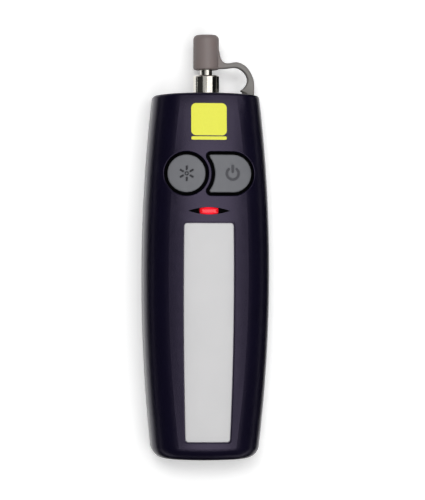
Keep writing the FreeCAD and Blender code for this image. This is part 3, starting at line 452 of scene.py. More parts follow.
def closed_piece(name, outline, steps, face, pitch, margin, finish):
    """A piece in one finish from its rings: a filled face above and a flat foot below."""
    points, faces, ring = stack(outline, steps)
    fill(points, faces, ring, grid(ring, pitch, margin), face, lambda x, y: 0)
    faces.append((tuple(reversed(range(len(ring)))), 0))
    return add_piece(name, points, faces, finish)


def rolled_edge(radius, face, finish, steps=5):
    """The steps of a round edge for stack(), from upright up to the face."""
    turns = [math.radians(90 * k / steps) for k in range(steps + 1)]
    return [(-radius * (1 - math.cos(a)),
             lambda x, y, a=a: face(x, y) - radius * (1 - math.sin(a)), finish) for a in turns]


print("a round edge of 1 mm shrinks by", [round(step[0], 2) for step in rolled_edge(1, None, 0)])

# %% [markdown]
# ## The two buttons
#
# On the real tester both buttons are one silicone keypad, moulded black, with grey faces. A
# round button for the mode sits in the hollow of a dee-shaped one for power, and a flange
# below the wall keeps them in. Under the rim everything is black, partly as that black moulding
# and partly as painted shade, which darkens the gap round each button. The faces follow the
# housing, 0.35 mm proud of it, with their symbols engraved: six rays round a small ring, and the
# common power sign. The engraving is cut into the mesh, because a bump map would stay flat at
# the edges of the strokes, and its strokes are filled with painted shade.

# %% Outlines of the buttons
low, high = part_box("mode_stem")
ROUND_X, BUTTON_Y = (low.x + high.x) / 2 / MM, (low.y + high.y) / 2 / MM
low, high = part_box("power_stem")
DEE_X = (low.x + high.x) / 2 / MM
BUTTON_RADIUS = 6.2
WEB = 3.15
DEE_CORNER = 0.5
LEAST_CORNER = 0.05
CIRCLE_SIDES = 96
CORNER_POINTS, ROUND_POINTS, HOLLOW_POINTS = 7, 41, 26
DEE_STEPS = 12
PROUD = 0.35


def round_outline(grow):
    """The mode button."""
    return arc(ROUND_X, BUTTON_Y, BUTTON_RADIUS + grow, 0, 360, CIRCLE_SIDES + 1)[:-1]


def dee_outline(grow):
    """The power button: a half round, two straights, and a hollow side round the other."""
    radius = BUTTON_RADIUS + grow
    hollow = BUTTON_RADIUS + WEB - grow
    corner = max(DEE_CORNER + grow, LEAST_CORNER)
    lean = math.degrees(math.asin((radius - corner) / (hollow + corner)))
    corner_x = ROUND_X + math.sqrt((hollow + corner) ** 2 - (radius - corner) ** 2)
    run = [corner_x + (DEE_X - corner_x) * k / DEE_STEPS for k in range(1, DEE_STEPS)]
    foot_y, top_y = BUTTON_Y - radius, BUTTON_Y + radius
    return (arc(corner_x, foot_y + corner, corner, 180 - lean, 270, CORNER_POINTS)
            + [(x, foot_y) for x in run]
            + arc(DEE_X, BUTTON_Y, radius, -90, 90, ROUND_POINTS)
            + [(x, top_y) for x in reversed(run)]
            + arc(corner_x, top_y - corner, corner, 90, 180 + lean, CORNER_POINTS)
            + arc(ROUND_X, BUTTON_Y, hollow, lean, -lean, HOLLOW_POINTS)[1:-1])


print("buttons at", round(ROUND_X, 2), round(DEE_X, 2), "level", round(BUTTON_Y, 2))

# %% [markdown]
# A symbol is described by how far a point lies from its strokes. Inside the stroke the face
# sinks by the depth of the engraving, and over the next 0.14 mm it rises smoothly back.

# %% Engraved symbols
RAYS = 6
FIRST_RAY = 30
RAY_SPAN = (1.4, 2.25)
RAY_HALF = 0.3
RING_RADIUS, RING_HALF = 0.5, 0.16
BAR_SPAN = (0.6, 2.6)
BAR_HALF = 0.4
SIGN_RADIUS, SIGN_HALF = 1.95, 0.38
SIGN_GAP = math.radians(42)


def to_stroke(x, y, x0, y0, x1, y1):
    """Distance from a point to a straight stroke's middle line."""
    run = Vector((x1 - x0, y1 - y0))
    part = max(0.0, min(1.0, Vector((x - x0, y - y0)).dot(run) / run.length_squared))
    return math.dist((x, y), (x0 + part * run.x, y0 + part * run.y))


def rays(x, y):
    """Signed distance to six rays round a small ring; negative inside a stroke."""
    x, y = x - ROUND_X, y - BUTTON_Y
    found = [abs(math.hypot(x, y) - RING_RADIUS) - RING_HALF]
    for number in range(RAYS):
        a = math.radians(FIRST_RAY + 360 / RAYS * number)
        ends = [part * r for r in RAY_SPAN for part in (math.cos(a), math.sin(a))]
        found.append(to_stroke(x, y, *ends) - RAY_HALF)
    return min(found)


def power_sign(x, y):
    """Signed distance to a ring that is open at the top, with a bar in the opening."""
    x, y = x - DEE_X, y - BUTTON_Y
    bar = to_stroke(x, y, 0, BAR_SPAN[0], 0, BAR_SPAN[1]) - BAR_HALF
    if abs(math.atan2(x, y)) > SIGN_GAP:
        return min(bar, abs(math.hypot(x, y) - SIGN_RADIUS) - SIGN_HALF)
    end = (math.copysign(SIGN_RADIUS * math.sin(SIGN_GAP), x), SIGN_RADIUS * math.cos(SIGN_GAP))
    return min(bar, math.dist((x, y), end) - SIGN_HALF)


def sunk(distance, depth=0.22, slope=0.14):
    """How far the face sinks at a signed distance from a stroke."""
    part = max(0.0, min(1.0, 1 - distance / slope))
    return depth * part * part * (3 - 2 * part)


print("at a ray the face sinks", sunk(rays(ROUND_X, BUTTON_Y + RAY_SPAN[0])), "mm")

# %% [markdown]
# The flange, the wall, the rolled edge and the face of a button are one stack of rings. The
# plunger that stands on its stem is two more rings with as many points, joined to the
# underside. The engraving needs points much closer together than the face does, so a fine
# square of them lies under the symbol.

# %% A button's sizes and its extra points
EDGE = 0.45
EDGE_FOOT = 0.3
WALL = 2.2
FLANGE_GAP, FLANGE_THICKNESS = 0.25, 0.8
FLANGE_REACH = 1.4
PLUNGER = 2.2
FACE_PITCH, FACE_MARGIN = 0.6, 0.35
FINE_PITCH, FINE_STEPS = 0.09, 32
FINE_CLEAR = 3.1
# Finish numbers: grey faces, black below the rim that is also painted shade, and painted shade in
# the engraved strokes.
GREY, BLACK_AND_SHADE, STROKE_SHADE = 0, 1, 2


def symbol_points(ring, centre_x):
    """A coarse grid over the face, with a fine square of points under the symbol."""
    coarse = [spot for spot in grid(ring, FACE_PITCH, FACE_MARGIN)
              if max(abs(spot[0] - centre_x), abs(spot[1] - BUTTON_Y)) > FINE_CLEAR]
    steps = range(-FINE_STEPS, FINE_STEPS + 1)
    return coarse + [(centre_x + FINE_PITCH * i, BUTTON_Y + FINE_PITCH * j)
                     for i in steps for j in steps]


def plunger_ring(centre_x, ring):
    """A circle with as many points as a ring, that starts nearest to the ring's first point."""
    post = arc(centre_x, BUTTON_Y, PLUNGER, 0, 360, len(ring) + 1)[:-1]
    shift = min(range(len(post)), key=lambda i: math.dist(ring[0], post[i]))
    return post[shift:] + post[:shift]


print("the symbol has", (2 * FINE_STEPS + 1) ** 2, "points")


# %% Both buttons
def button(name, outline, symbol, centre_x, stem, ink_and_shade):
    """A keypad button: plunger, flange and wall in black that is also painted shade in the gap,
    rolled edge and face in grey, engraved strokes in painted shade.
    """
    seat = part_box(stem)[1].z / MM
    flange_top = WALL + FLANGE_GAP
    flange_foot = flange_top + FLANGE_THICKNESS

    def face(x, y):
        return face_height(x, y, PROUD)

    # Flange and wall are black, which also paints the shade in the gap round the button.
    steps = [(FLANGE_REACH, under_face(flange_foot), BLACK_AND_SHADE),
             (FLANGE_REACH, under_face(flange_top), BLACK_AND_SHADE),
             (0, under_face(flange_top), BLACK_AND_SHADE), (0, under_face(EDGE_FOOT), BLACK_AND_SHADE)]
    points, faces, ring = stack(outline, steps + rolled_edge(EDGE, face, GREY))
    # The face sinks along the symbol's strokes, and the strokes carry painted shade.
    fill(points, faces, ring, symbol_points(ring, centre_x),
         lambda x, y: face(x, y) - sunk(symbol(x, y)),
         lambda x, y: STROKE_SHADE if symbol(x, y) < 0 else GREY)

    post = plunger_ring(centre_x, outline(0))
    base, count = len(points), len(post)
    points += [(x, y, face_height(x, y) - flange_foot) for x, y in post]
    points += [(x, y, seat) for x, y in post]
    for i in range(count):
        after = (i + 1) % count
        faces.append(((i, base + i, base + after, after), BLACK_AND_SHADE))
        faces.append(((base + i, base + count + i, base + count + after, base + after), BLACK_AND_SHADE))
    faces.append((tuple(base + count + i for i in reversed(range(count))), BLACK_AND_SHADE))
    return add_piece(name, points, faces, grey_silicone, black_silicone_and_shade, ink_and_shade)


mode_key = button("mode_key_face", round_outline, rays, ROUND_X, "mode_stem", dark_stroke_shade)
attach(mode_key, "mode_key")
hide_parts("mode_button")

power_key = button("power_key_face", dee_outline, power_sign, DEE_X, "power_stem", pale_stroke_shade)
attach(power_key, "power_key")
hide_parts("power_button")

# %% [markdown]
# ## The front plate
#
# The long plate is silver polyester film over a moulded tray, left plain here. It lies 0.15 mm
# under the housing's face. Its long sides bow out by less than half a millimetre and its edge
# is rolled. The same rings make it.

# %% The plate's outline
low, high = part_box("front_plate")
PLATE_FOOT, PLATE_TOP = low.y / MM, high.y / MM
PLATE_HALVES = (7.5, 8.3)
PLATE_BOW = 0.437
PLATE_CORNER = 1.2
PLATE_CORNER_POINTS = 8
SIDE_STEPS, END_STEPS = 48, 12


def plate_half(y):
    """Half the plate's width at a place along it."""
    t = (y - PLATE_FOOT) / (PLATE_TOP - PLATE_FOOT)
    return PLATE_HALVES[0] + (PLATE_HALVES[1] - PLATE_HALVES[0]) * t + 4 * PLATE_BOW * t * (1 - t)


def plate_outline(grow):
    """The plate in plan, anticlockwise from the left of its foot."""
    corner = PLATE_CORNER + grow
    foot_y, top_y = PLATE_FOOT + PLATE_CORNER, PLATE_TOP - PLATE_CORNER
    foot_x, top_x = plate_half(foot_y) - PLATE_CORNER, plate_half(top_y) - PLATE_CORNER
    side = [foot_y + (top_y - foot_y) * k / SIDE_STEPS for k in range(1, SIDE_STEPS)]
    across = [k / END_STEPS for k in range(1, END_STEPS)]
    return (arc(-foot_x, foot_y, corner, 180, 270, PLATE_CORNER_POINTS)
            + [(foot_x * (2 * k - 1), foot_y - corner) for k in across]
            + arc(foot_x, foot_y, corner, 270, 360, PLATE_CORNER_POINTS)
            + [(plate_half(y) + grow, y) for y in side]
            + arc(top_x, top_y, corner, 0, 90, PLATE_CORNER_POINTS)
            + [(top_x * (1 - 2 * k), top_y + corner) for k in across]
            + arc(-top_x, top_y, corner, 90, 180, PLATE_CORNER_POINTS)
            + [(-plate_half(y) - grow, y) for y in reversed(side)])


print("the plate is", round(PLATE_TOP - PLATE_FOOT, 2), "mm long")

# %% The plate
PLATE_SINK = 0.15
PLATE_THICKNESS = 0.5
PLATE_GAP = 0.15
PLATE_ROLL = 0.3
PLATE_PITCH, PLATE_MARGIN = 1.4, 0.8


def plate_face(x, y):
    """Height of the plate's face, which follows the housing's."""
    return face_height(x, y, -PLATE_SINK)


steps = [(0, lambda x, y: plate_face(x, y) - PLATE_THICKNESS, 0)]
plate = closed_piece("front_plate_panel", lambda grow: plate_outline(grow - PLATE_GAP),
                     steps + rolled_edge(PLATE_ROLL, plate_face, 0), plate_face,
                     PLATE_PITCH, PLATE_MARGIN, silver_film)
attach(plate, "root")
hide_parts("front_plate")

# %% [markdown]
# ## The indicator
#
# The red light sits in an eye: two long arcs that meet in points. The lens fills the middle of
# it and is domed across, so that it catches a line of light. It carries a flange that holds it
# under the wall, and its foot reaches the lamp.

# %% The outlines of the eye and the lens
low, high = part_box("indicator_lens")
EYE_Y = (low.y + high.y) / 2 / MM
LENS_FOOT = low.z / MM
EYE_REACH, EYE_RISE = 6.95, 1.2
EYE_RADIUS = (EYE_REACH ** 2 + EYE_RISE ** 2) / (2 * EYE_RISE)
LENS_HALF = 3.05
LENS_CORNER = 0.4
LENS_STEPS = 10
LENS_CORNER_POINTS = 6


def eye_half(x):
    """Half the height of the eye at a place across it."""
    return EYE_RISE - EYE_RADIUS + math.sqrt(EYE_RADIUS ** 2 - x * x)


def lens_outline(grow):
    """The middle of the eye with small round corners, anticlockwise from the left."""
    corner = LENS_CORNER + grow
    middle = LENS_HALF - LENS_CORNER
    tall = eye_half(middle) - LENS_CORNER
    across = [middle * (k / LENS_STEPS - 1) for k in range(1, 2 * LENS_STEPS)]
    return (arc(-middle, EYE_Y - tall, corner, 180, 270, LENS_CORNER_POINTS)
            + [(x, EYE_Y - eye_half(x) - grow) for x in across]
            + arc(middle, EYE_Y - tall, corner, 270, 360, LENS_CORNER_POINTS)
            + arc(middle, EYE_Y + tall, corner, 0, 90, LENS_CORNER_POINTS)
            + [(x, EYE_Y + eye_half(x) + grow) for x in reversed(across)]
            + arc(-middle, EYE_Y + tall, corner, 90, 180, LENS_CORNER_POINTS))


print("the lens is", 2 * LENS_HALF, "by", round(2 * eye_half(0), 2), "mm")

# %% The lens, domed and flanged
LENS_SINK = 0.5
DOME = 0.42
FALL_ACROSS, FALL_ALONG = 0.9, 0.6
LENS_FLANGE_FOOT, LENS_FLANGE_TOP = 3.3, 2.5
LENS_FLANGE_REACH = 1.2
LENS_ROLL = 0.15
LENS_PITCH, LENS_MARGIN = 0.2, 0.12


def lens_face(x, y):
    """A dome on the lens, whose top stays just under the housing's skin."""
    across = (y - EYE_Y) / EYE_RISE
    lengthways = x / LENS_HALF
    rise = DOME * (1 - FALL_ACROSS * across * across) * (1 - FALL_ALONG * lengthways ** 4)
    return face_height(x, y, -LENS_SINK) + rise


steps = [(0, lambda x, y: LENS_FOOT, 0), (0, under_face(LENS_FLANGE_FOOT), 0),
         (LENS_FLANGE_REACH, under_face(LENS_FLANGE_FOOT), 0),
         (LENS_FLANGE_REACH, under_face(LENS_FLANGE_TOP), 0),
         (0, under_face(LENS_FLANGE_TOP), 0)]
lens = closed_piece("indicator_lens_domed", lens_outline,
                    steps + rolled_edge(LENS_ROLL, lens_face, 0, steps=3), lens_face,
                    LENS_PITCH, LENS_MARGIN, red_acrylic)
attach(lens, "root")
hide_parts("indicator_lens")

# %% [markdown]
# The lamp stands under the middle of the lens but gives no light; the painted glow is strongest
# there, as a painted hot spot, and fades towards its ends. The glow depends on the distance from
# the middle of its face.

# %% The painted glow of the lens
GLOW_NEAR, GLOW_FAR = 0.2, 2.6
GLOW_MOST, GLOW_LEAST = 0.75, 0.04
tree = red_acrylic.node_tree
glow_middle = (0, EYE_Y * MM, lens_face(0, EYE_Y) * MM)
from_glow_middle = compute(tree, "DISTANCE", put(tree, "TexCoord").outputs["Object"], glow_middle,
                    kind="VectorMath", output=1)
glow = spread(tree, from_glow_middle, GLOW_NEAR * MM, GLOW_FAR * MM, GLOW_MOST, GLOW_LEAST)
tree.links.new(glow, shader_of(tree).inputs["Emission Strength"])
print("the lens glows within", GLOW_FAR, "mm of its middle")

# %% [markdown]
# The two ends of the eye are open pockets. A black sheet of painted shade lies in each, about a
# millimetre down and a little inside the outline, so the pockets look black and the housing
# doesn't.

# %% The painted shade in the eye's ends
SHADE_FOOT, SHADE_TOP = 1.15, 0.75
SHADE_FROM_LENS, SHADE_FROM_POINT = 0.2, 0.35
SHADE_GAP = 0.04
SHADE_STEPS = 12


def pocket_outline(side):
    """One end of the eye in plan, anticlockwise; side is 1 for the right and -1 for the left."""
    inner, outer = LENS_HALF + SHADE_FROM_LENS, EYE_REACH - SHADE_FROM_POINT
    reach = [inner + (outer - inner) * k / SHADE_STEPS for k in range(SHADE_STEPS + 1)]
    lower = [(side * x, EYE_Y - eye_half(x) + SHADE_GAP) for x in reach]
    upper = [(side * x, EYE_Y + eye_half(x) - SHADE_GAP) for x in reversed(reach)]
    ring = lower + upper
    return ring if side > 0 else list(reversed(ring))


points, faces = [], []
for side in (1, -1):
    spots, walls, ring = stack(lambda grow: pocket_outline(side),
                               [(0, under_face(SHADE_FOOT), 0), (0, under_face(SHADE_TOP), 0)])
    count, base = len(ring), len(points)
    ends = [(tuple(reversed(range(count))), 0), (tuple(range(count, 2 * count)), 0)]
    faces += [(tuple(base + i for i in corners), 0) for corners, _ in walls + ends]
    points += spots
pocket_shade = add_piece("eye_pocket_shade", points, faces, pocket_shade_black)
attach(pocket_shade, "root")

# %% [markdown]
# ## The cap and its strap
#
# The dust cap is one moulding of soft rubber: a cup that slips over the port, a thin strap
# that leaves the cup in a long fillet, and a foot with a plug pushed through the end wall. The
# strap bends like a spring when the cap is pulled off and swung aside. The three forms are
# drawn apart, as closed solids, and grown into one skin with a voxel remesh, then smoothed.
# That rounds the joins as a mould would. Joining them with a boolean leaves sharp seams.

# %% The strap's outline
CURVE_STEPS = 6
STRAP_TOP = [(2.9, 15.6), (3.9, 15.3), (4.35, 14.2), (4.65, 12.6), (5.2, 11.3), (6.2, 10.5),
             (7.6, 10.4), (10.0, 10.75), (11.9, 10.2), (13.6, 9.0), (14.9, 7.1), (15.8, 4.9),
             (16.0, 2.6), (16.0, -0.9)]
STRAP_UNDER = [(13.6, -0.9), (13.3, 0.2), (12.3, 0.7), (11.5, 1.1), (11.7, 1.5), (12.7, 2.3),
               (13.5, 3.5), (13.8, 4.9), (13.2, 6.6), (11.8, 8.1), (9.8, 8.9), (6.5, 8.6),
               (2.9, 8.45)]


def flowing(points, count):
    """A smooth line through points, with count steps between each two."""
    ends = [points[0]] + points + [points[-1]]
    line = []
    for p0, p1, p2, p3 in zip(ends, ends[1:], ends[2:], ends[3:]):
        for step in range(count):
            t = step / count
            line.append(tuple(0.5 * (2 * b + (c - a) * t + (2 * a - 5 * b + 4 * c - d) * t * t
                                     + (3 * b - a - 3 * c + d) * t ** 3)
                              for a, b, c, d in zip(p0, p1, p2, p3)))
    return line + [points[-1]]


strap_line = flowing(STRAP_TOP, CURVE_STEPS) + flowing(STRAP_UNDER, CURVE_STEPS)
print("the strap's outline has", len(strap_line), "points")

# %% The cup and the plug
CUP_RADIUS, CUP_MOUTH, CUP_TOP = 4.3, 8.1, 19.77
BORE_RADIUS, BORE_END = 2.65, 18.07
MOUTH_ROUND, MOUTH_POINTS = 0.7, 5
TOP_ROUND, TOP_POINTS = 1.6, 8
CUP = ([(0, BORE_END), (BORE_RADIUS, BORE_END), (BORE_RADIUS, CUP_MOUTH)]
       + arc(CUP_RADIUS - MOUTH_ROUND, CUP_MOUTH + MOUTH_ROUND, MOUTH_ROUND, 270, 360,
             MOUTH_POINTS)
       + arc(CUP_RADIUS - TOP_ROUND, CUP_TOP - TOP_ROUND, TOP_ROUND, 0, 90, TOP_POINTS)[:-1]
       + [(0, CUP_TOP)])
PLUG_X = 13.2
PLUG = [(0, -4.25), (1.2, -4.25), (1.8, -3.25), (1.2, -3.25), (1.2, 0.6), (0, 0.6)]


def revolved(body, profile, x, sides=64):
    """Adds a closed profile of (radius, level) points, turned round an axis along Y."""
    rings = []
    for radius, level in profile:
        turns = [2 * math.pi * k / sides for k in range(sides)] if radius else [0]
        rings.append([body.verts.new((x + radius * math.cos(a), shoulder + level,
                                      port_level + radius * math.sin(a))) for a in turns])
    for lower, upper in zip(rings, rings[1:]):
        for k in range(sides):
            after = (k + 1) % sides
            corners = [lower[k % len(lower)], lower[after % len(lower)],
                       upper[after % len(upper)], upper[k % len(upper)]]
            body.faces.new(list(dict.fromkeys(corners)))


print("the cup's profile has", len(CUP), "points and the plug's", len(PLUG))

# %% The strap
STRAP_DEPTH = 3.8
STRAP_EDGE = 0.5


def strap_mesh():
    """The strap as a flat filled curve, thickened and with its long edges rounded."""
    curve = bpy.data.curves.new("strap_line", "CURVE")
    curve.dimensions = "2D"
    curve.fill_mode = "BOTH"
    curve.extrude = STRAP_DEPTH / 2 - STRAP_EDGE
    curve.bevel_depth = STRAP_EDGE
    curve.bevel_resolution = 2
    curve.offset = -STRAP_EDGE
    line = curve.splines.new("POLY")
    line.points.add(len(strap_line) - 1)
    for point, (x, level) in zip(line.points, strap_line):
        point.co = (x, shoulder + level, 0, 1)
    line.use_cyclic_u = True
    made = add_object("strap_line", curve)
    made.location.z = port_level
    bpy.context.view_layer.update()
    mesh = made.to_mesh()
    mesh.transform(made.matrix_world)
    copy = mesh.copy()
    made.to_mesh_clear()
    bpy.data.objects.remove(made)
    return copy


strap = strap_mesh()
print("the strap has", len(strap.polygons), "faces")

# %% One rubber skin
VOXEL = 0.15
SAME_POINT = 1e-5
body = bmesh.new()
revolved(body, CUP, 0)
revolved(body, PLUG, PLUG_X)
body.from_mesh(strap)
bmesh.ops.remove_doubles(body, verts=body.verts, dist=SAME_POINT)
bmesh.ops.recalc_face_normals(body, faces=body.faces)
loose = bpy.data.meshes.new("cap_forms")
body.to_mesh(loose)
body.free()
forms = add_object("cap_forms", loose)
grown = forms.modifiers.new("one_skin", "REMESH")
grown.mode = "VOXEL"
grown.voxel_size = VOXEL
eased = forms.modifiers.new("eased", "SMOOTH")
eased.factor = 0.5
eased.iterations = 3
bpy.context.view_layer.update()
skin = bpy.data.meshes.new_from_object(forms.evaluated_get(bpy.context.evaluated_depsgraph_get()))
bpy.data.objects.remove(forms)
skin.transform(Matrix.Scale(MM, 4))
skin.polygons.foreach_set("use_smooth", [True] * len(skin.polygons))
skin.materials.clear()
skin.materials.append(soft_rubber)
tether = add_object("tethered_cap", skin)
print("tethered cap:", len(skin.polygons), "faces")

# %% [markdown]
# The strap, which is bent and handled most, is greyer than the brown cup. A texture coordinate
# would slide over the mesh if the cap were swung, so the wear is stored on each point instead:
# none within 3 mm of the cup's axis, and all of it 5 mm further out.

# %% The handled strap
HANDLED_FROM, HANDLED_RUN = 3, 5
handling = skin.attributes.new("_handled", "FLOAT", "POINT")
wear = [(v.co.x / MM - HANDLED_FROM) / HANDLED_RUN for v in skin.vertices]
handling.data.foreach_set("value", [min(max(w, 0), 1) for w in wear])

tree = soft_rubber.node_tree
colour = shader_of(tree).inputs["Base Color"]
handled = put(tree, "Attribute", attribute_name="_handled").outputs["Fac"]
tree.links.new(mixed(tree, handled, colour.links[0].from_socket, linear("#7b7875")), colour)
print("points that are fully handled:", sum(w >= 1 for w in wear))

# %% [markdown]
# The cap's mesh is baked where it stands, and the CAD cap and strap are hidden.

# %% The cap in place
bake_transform(tether)
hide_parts("dust_cap", "cap_strap")

# %% [markdown]
# ## The circuit board
#
# The board is glass-epoxy laminate under green solder resist. Copper tracks show through the
# resist as slightly raised, lighter lines about 0.4 mm wide, which a brick pattern gives with
# mortar for its lines. A drawn track plan would be truer, but nobody sees it through the case.

# %% Solder resist
solder_resist, tree = new_material("solder_resist_on_laminate")
place = put(tree, "TexCoord").outputs["Object"]
tracks = put(tree, "TexBrick", {"Vector": place, "Scale": 1.0,
                                "Brick Width": 5 * MM, "Row Height": 1.6 * MM,
                                "Mortar Size": 0.2 * MM, "Mortar Smooth": 0.2,
                                "Color1": linear("#0e3d24"), "Color2": linear("#104428"),
                                "Mortar": linear("#2c6b3d")}, offset=0.35)
gloss = spread(tree, noise(tree, place, 0.3), 0, 1, 0.25, 0.4)
raised = put(tree, "Bump", {"Height": tracks.outputs["Fac"], "Distance": 0.03 * MM})
surface(tree, put(tree, "BsdfPrincipled", {"Base Color": tracks.outputs["Color"],
                                           "Roughness": gloss,
                                           "Normal": raised.outputs[0], "IOR": 1.55}))
dress(solder_resist, "circuit_board")

# %% [markdown]
# ## The two cells
#
# An AA cell is a steel can in a printed film. This one is plain: silver film with a copper
# band at its plus end, and bare steel at both flat ends. The left cell has its plus end
# towards the port and the right one towards the foot, so the band is found from the sign of
# X times the distance from the middle of the bay.

# %% Film and bare steel ends
BAND_FROM_MIDDLE = 14
END_FACING = 0.9
low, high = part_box("battery_cell_left")
middle = (low.y + high.y) / 2
cell_film, tree = new_material("cell_film_on_steel")
place = put(tree, "TexCoord").outputs["Object"]
axes = put(tree, "SeparateXYZ", {"Vector": place})
past_middle = compute(tree, "SUBTRACT", axes.outputs["Y"], middle)
towards = compute(tree, "MULTIPLY", compute(tree, "SIGN", axes.outputs["X"]), past_middle)
band = compute(tree, "LESS_THAN", towards, -BAND_FROM_MIDDLE * MM)
silver = mixed(tree, noise(tree, place, 6), linear("#b4b5b8"), linear("#c0c1c4"))
film = mixed(tree, band, silver, linear("#a8623a"))
turned = put(tree, "SeparateXYZ", {"Vector": put(tree, "NewGeometry").outputs["Normal"]})
bare = compute(tree, "GREATER_THAN", compute(tree, "ABSOLUTE", turned.outputs["Y"]), END_FACING)
wrapped = put(tree, "BsdfPrincipled", {"Base Color": film, "Roughness": 0.28, "Metallic": 0.55})
can = put(tree, "BsdfPrincipled", {"Base Color": linear("#a9abae"), "Roughness": 0.35,
                                   "Metallic": 1.0})
surface(tree, put(tree, "MixShader", {0: bare, 1: wrapped.outputs[0], 2: can.outputs[0]}))
dress(cell_film, "battery_cell_left", "battery_cell_right")

# %% [markdown]
# ## The plain sticker
#
# The tester carries a small black vinyl sticker with a yellow field. Ours is left plain: a
# black ground, a rounded yellow field above and a thin yellow strip below, with nothing
# printed on them. The two yellow shapes are rounded boxes drawn by distance. For each, the
# distance from its middle is folded into one quarter, the box is taken off, and what is left
# is compared with the corner radius.


# %% Printed vinyl
FIELD_DROP, FIELD_HALF, FIELD_CORNER = 6.6, (5.85, 5.3), 1.6
STRIP_DROP, STRIP_HALF, STRIP_CORNER = 12.8, (5.8, 0.55), 0.4
ANY_HEIGHT = 1


def rounded_box(tree, spot, centre, half, corner):
    """A mask that is 1 inside a rounded box in plan, at any height; sizes in millimetres."""
    moved = compute(tree, "SUBTRACT", spot, [c * MM for c in centre] + [0], kind="VectorMath")
    folded = compute(tree, "ABSOLUTE", moved, kind="VectorMath")
    box = [(h - corner) * MM for h in half] + [ANY_HEIGHT]
    past = compute(tree, "SUBTRACT", folded, box, kind="VectorMath")
    kept = compute(tree, "MAXIMUM", past, (0, 0, 0), kind="VectorMath")
    distance = compute(tree, "LENGTH", kept, kind="VectorMath", output=1)
    return compute(tree, "LESS_THAN", distance, corner * MM)


low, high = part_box("blank_sticker")
top = high.y / MM
vinyl, tree = new_material("printed_vinyl")
place = put(tree, "TexCoord").outputs["Object"]
field = rounded_box(tree, place, (0, top - FIELD_DROP), FIELD_HALF, FIELD_CORNER)
strip = rounded_box(tree, place, (0, top - STRIP_DROP), STRIP_HALF, STRIP_CORNER)
yellow = mixed(tree, noise(tree, place, 0.5), linear("#e9ea2e"), linear("#f0f238"))
ink_and_shade = mixed(tree, compute(tree, "MAXIMUM", field, strip), linear("#0a0818"), yellow)
surface(tree, put(tree, "BsdfPrincipled", {"Base Color": ink_and_shade, "Roughness": 0.3, "IOR": 1.5,
                                           **PAINT_SHEEN}))
dress(vinyl, "blank_sticker")

# %% [markdown]
# ## The table
#
# The tester lies on a white table. Its paint glows, but only for the camera, for reflections
# and through glass, so it lights nothing and the shadow stays. The glow grows with the distance
# from the tester, which turns the far table pure white. From below the table is clear, so that
# the back of the tester shows, and it lies 0.1 mm low, because two faces in one plane flicker.

# %% The table
TABLE_REACH = 4000
TABLE_DROP = 0.1
NEAR_AWAY, FAR_AWAY = 0.15, 0.6
NEAR_GLOW, FAR_GLOW = 0.25, 0.9


def flat_face(name, corners):
    """One flat face; corners are in millimetres."""
    mesh = bpy.data.meshes.new(name)
    mesh.from_pydata([[v * MM for v in corner] for corner in corners], [], [(0, 1, 2, 3)])
    return add_object(name, mesh)


def level_corners(left, right, front, back, height):
    """The corners of a level rectangle."""
    return [(left, front, height), (right, front, height), (right, back, height),
            (left, back, height)]


white_paint, tree = new_material("white_table_paint")
seen = put(tree, "LightPath")
mirrored = compute(tree, "MAXIMUM", seen.outputs["Is Camera Ray"], seen.outputs["Is Glossy Ray"])
direct = compute(tree, "MAXIMUM", mirrored, seen.outputs["Is Transmission Ray"])
away = compute(tree, "LENGTH", put(tree, "TexCoord").outputs["Object"], kind="VectorMath",
               output=1)
faded = spread(tree, away, NEAR_AWAY, FAR_AWAY, NEAR_GLOW, FAR_GLOW)
lift = compute(tree, "MULTIPLY", direct, faded)
paint = put(tree, "BsdfPrincipled", {"Base Color": linear("#fbfbfb"), "Roughness": 0.8,
                                     "Emission Color": linear("#ffffff"),
                                     "Emission Strength": lift})
below = put(tree, "NewGeometry").outputs["Backfacing"]
surface(tree, put(tree, "MixShader", {0: below, 1: paint.outputs[0],
                                      2: put(tree, "BsdfTransparent").outputs[0]}))
table_level = cad_box[0][2] / MM
floor = flat_face("floor", level_corners(-TABLE_REACH, TABLE_REACH, -TABLE_REACH, TABLE_REACH,
                                         table_level - TABLE_DROP))
floor.data.materials.append(white_paint)
print("the table is", 2 * TABLE_REACH * MM, "m square")

# %% [markdown]
# ## The room
#
# To the camera the room is plain white. To everything else it is nearly dark, a little less so
# near the horizon. That keeps the shoulders dark, since a dark gloss shows what it mirrors.

# %% The room
HORIZON_GLOW, UPPER_GLOW = 0.15, 0.03
HORIZON_TOP = 0.09
world = bpy.data.worlds.new("studio")
bpy.context.scene.world = world
world.use_nodes = True
tree = world.node_tree
tree.nodes.clear()
ray = put(tree, "SeparateXYZ", {"Vector": put(tree, "TexCoord").outputs["Generated"]})
wall = spread(tree, ray.outputs["Z"], 0, HORIZON_TOP, HORIZON_GLOW, UPPER_GLOW)
looked_at = put(tree, "LightPath").outputs["Is Camera Ray"]
sky = put(tree, "Background", {"Color": linear("#ffffff"),
                               "Strength": compute(tree, "MAXIMUM", wall, looked_at)})
put(tree, "OutputWorld", {"Surface": sky.outputs[0]})
print("the room glows from", HORIZON_GLOW, "down to", UPPER_GLOW)

# %% [markdown]
# ## The lamps
#
# Two softboxes light the tester. The wide one hangs over its right side, and its mirror image
# is the pale zone along the housing. The small one hangs at the upper left and throws the
# shadow to the lower right. It isn't mirrored, or it would add a second bright spot.


# %% The lamps
def softbox(name, place, aim, width, height, strength):
    """A rectangular lamp at a place, turned to a point; strength is its power in watts."""
    lamp = bpy.data.lights.new(name, "AREA")
    lamp.shape = "RECTANGLE"
    lamp.size = width
    lamp.size_y = height
    lamp.energy = strength
    made = add_object(name, lamp)
    made.location = place
    made.rotation_euler = (Vector(aim) - Vector(place)).to_track_quat("-Z", "Y").to_euler()
    print(name, "gives", strength, "W")
    return made


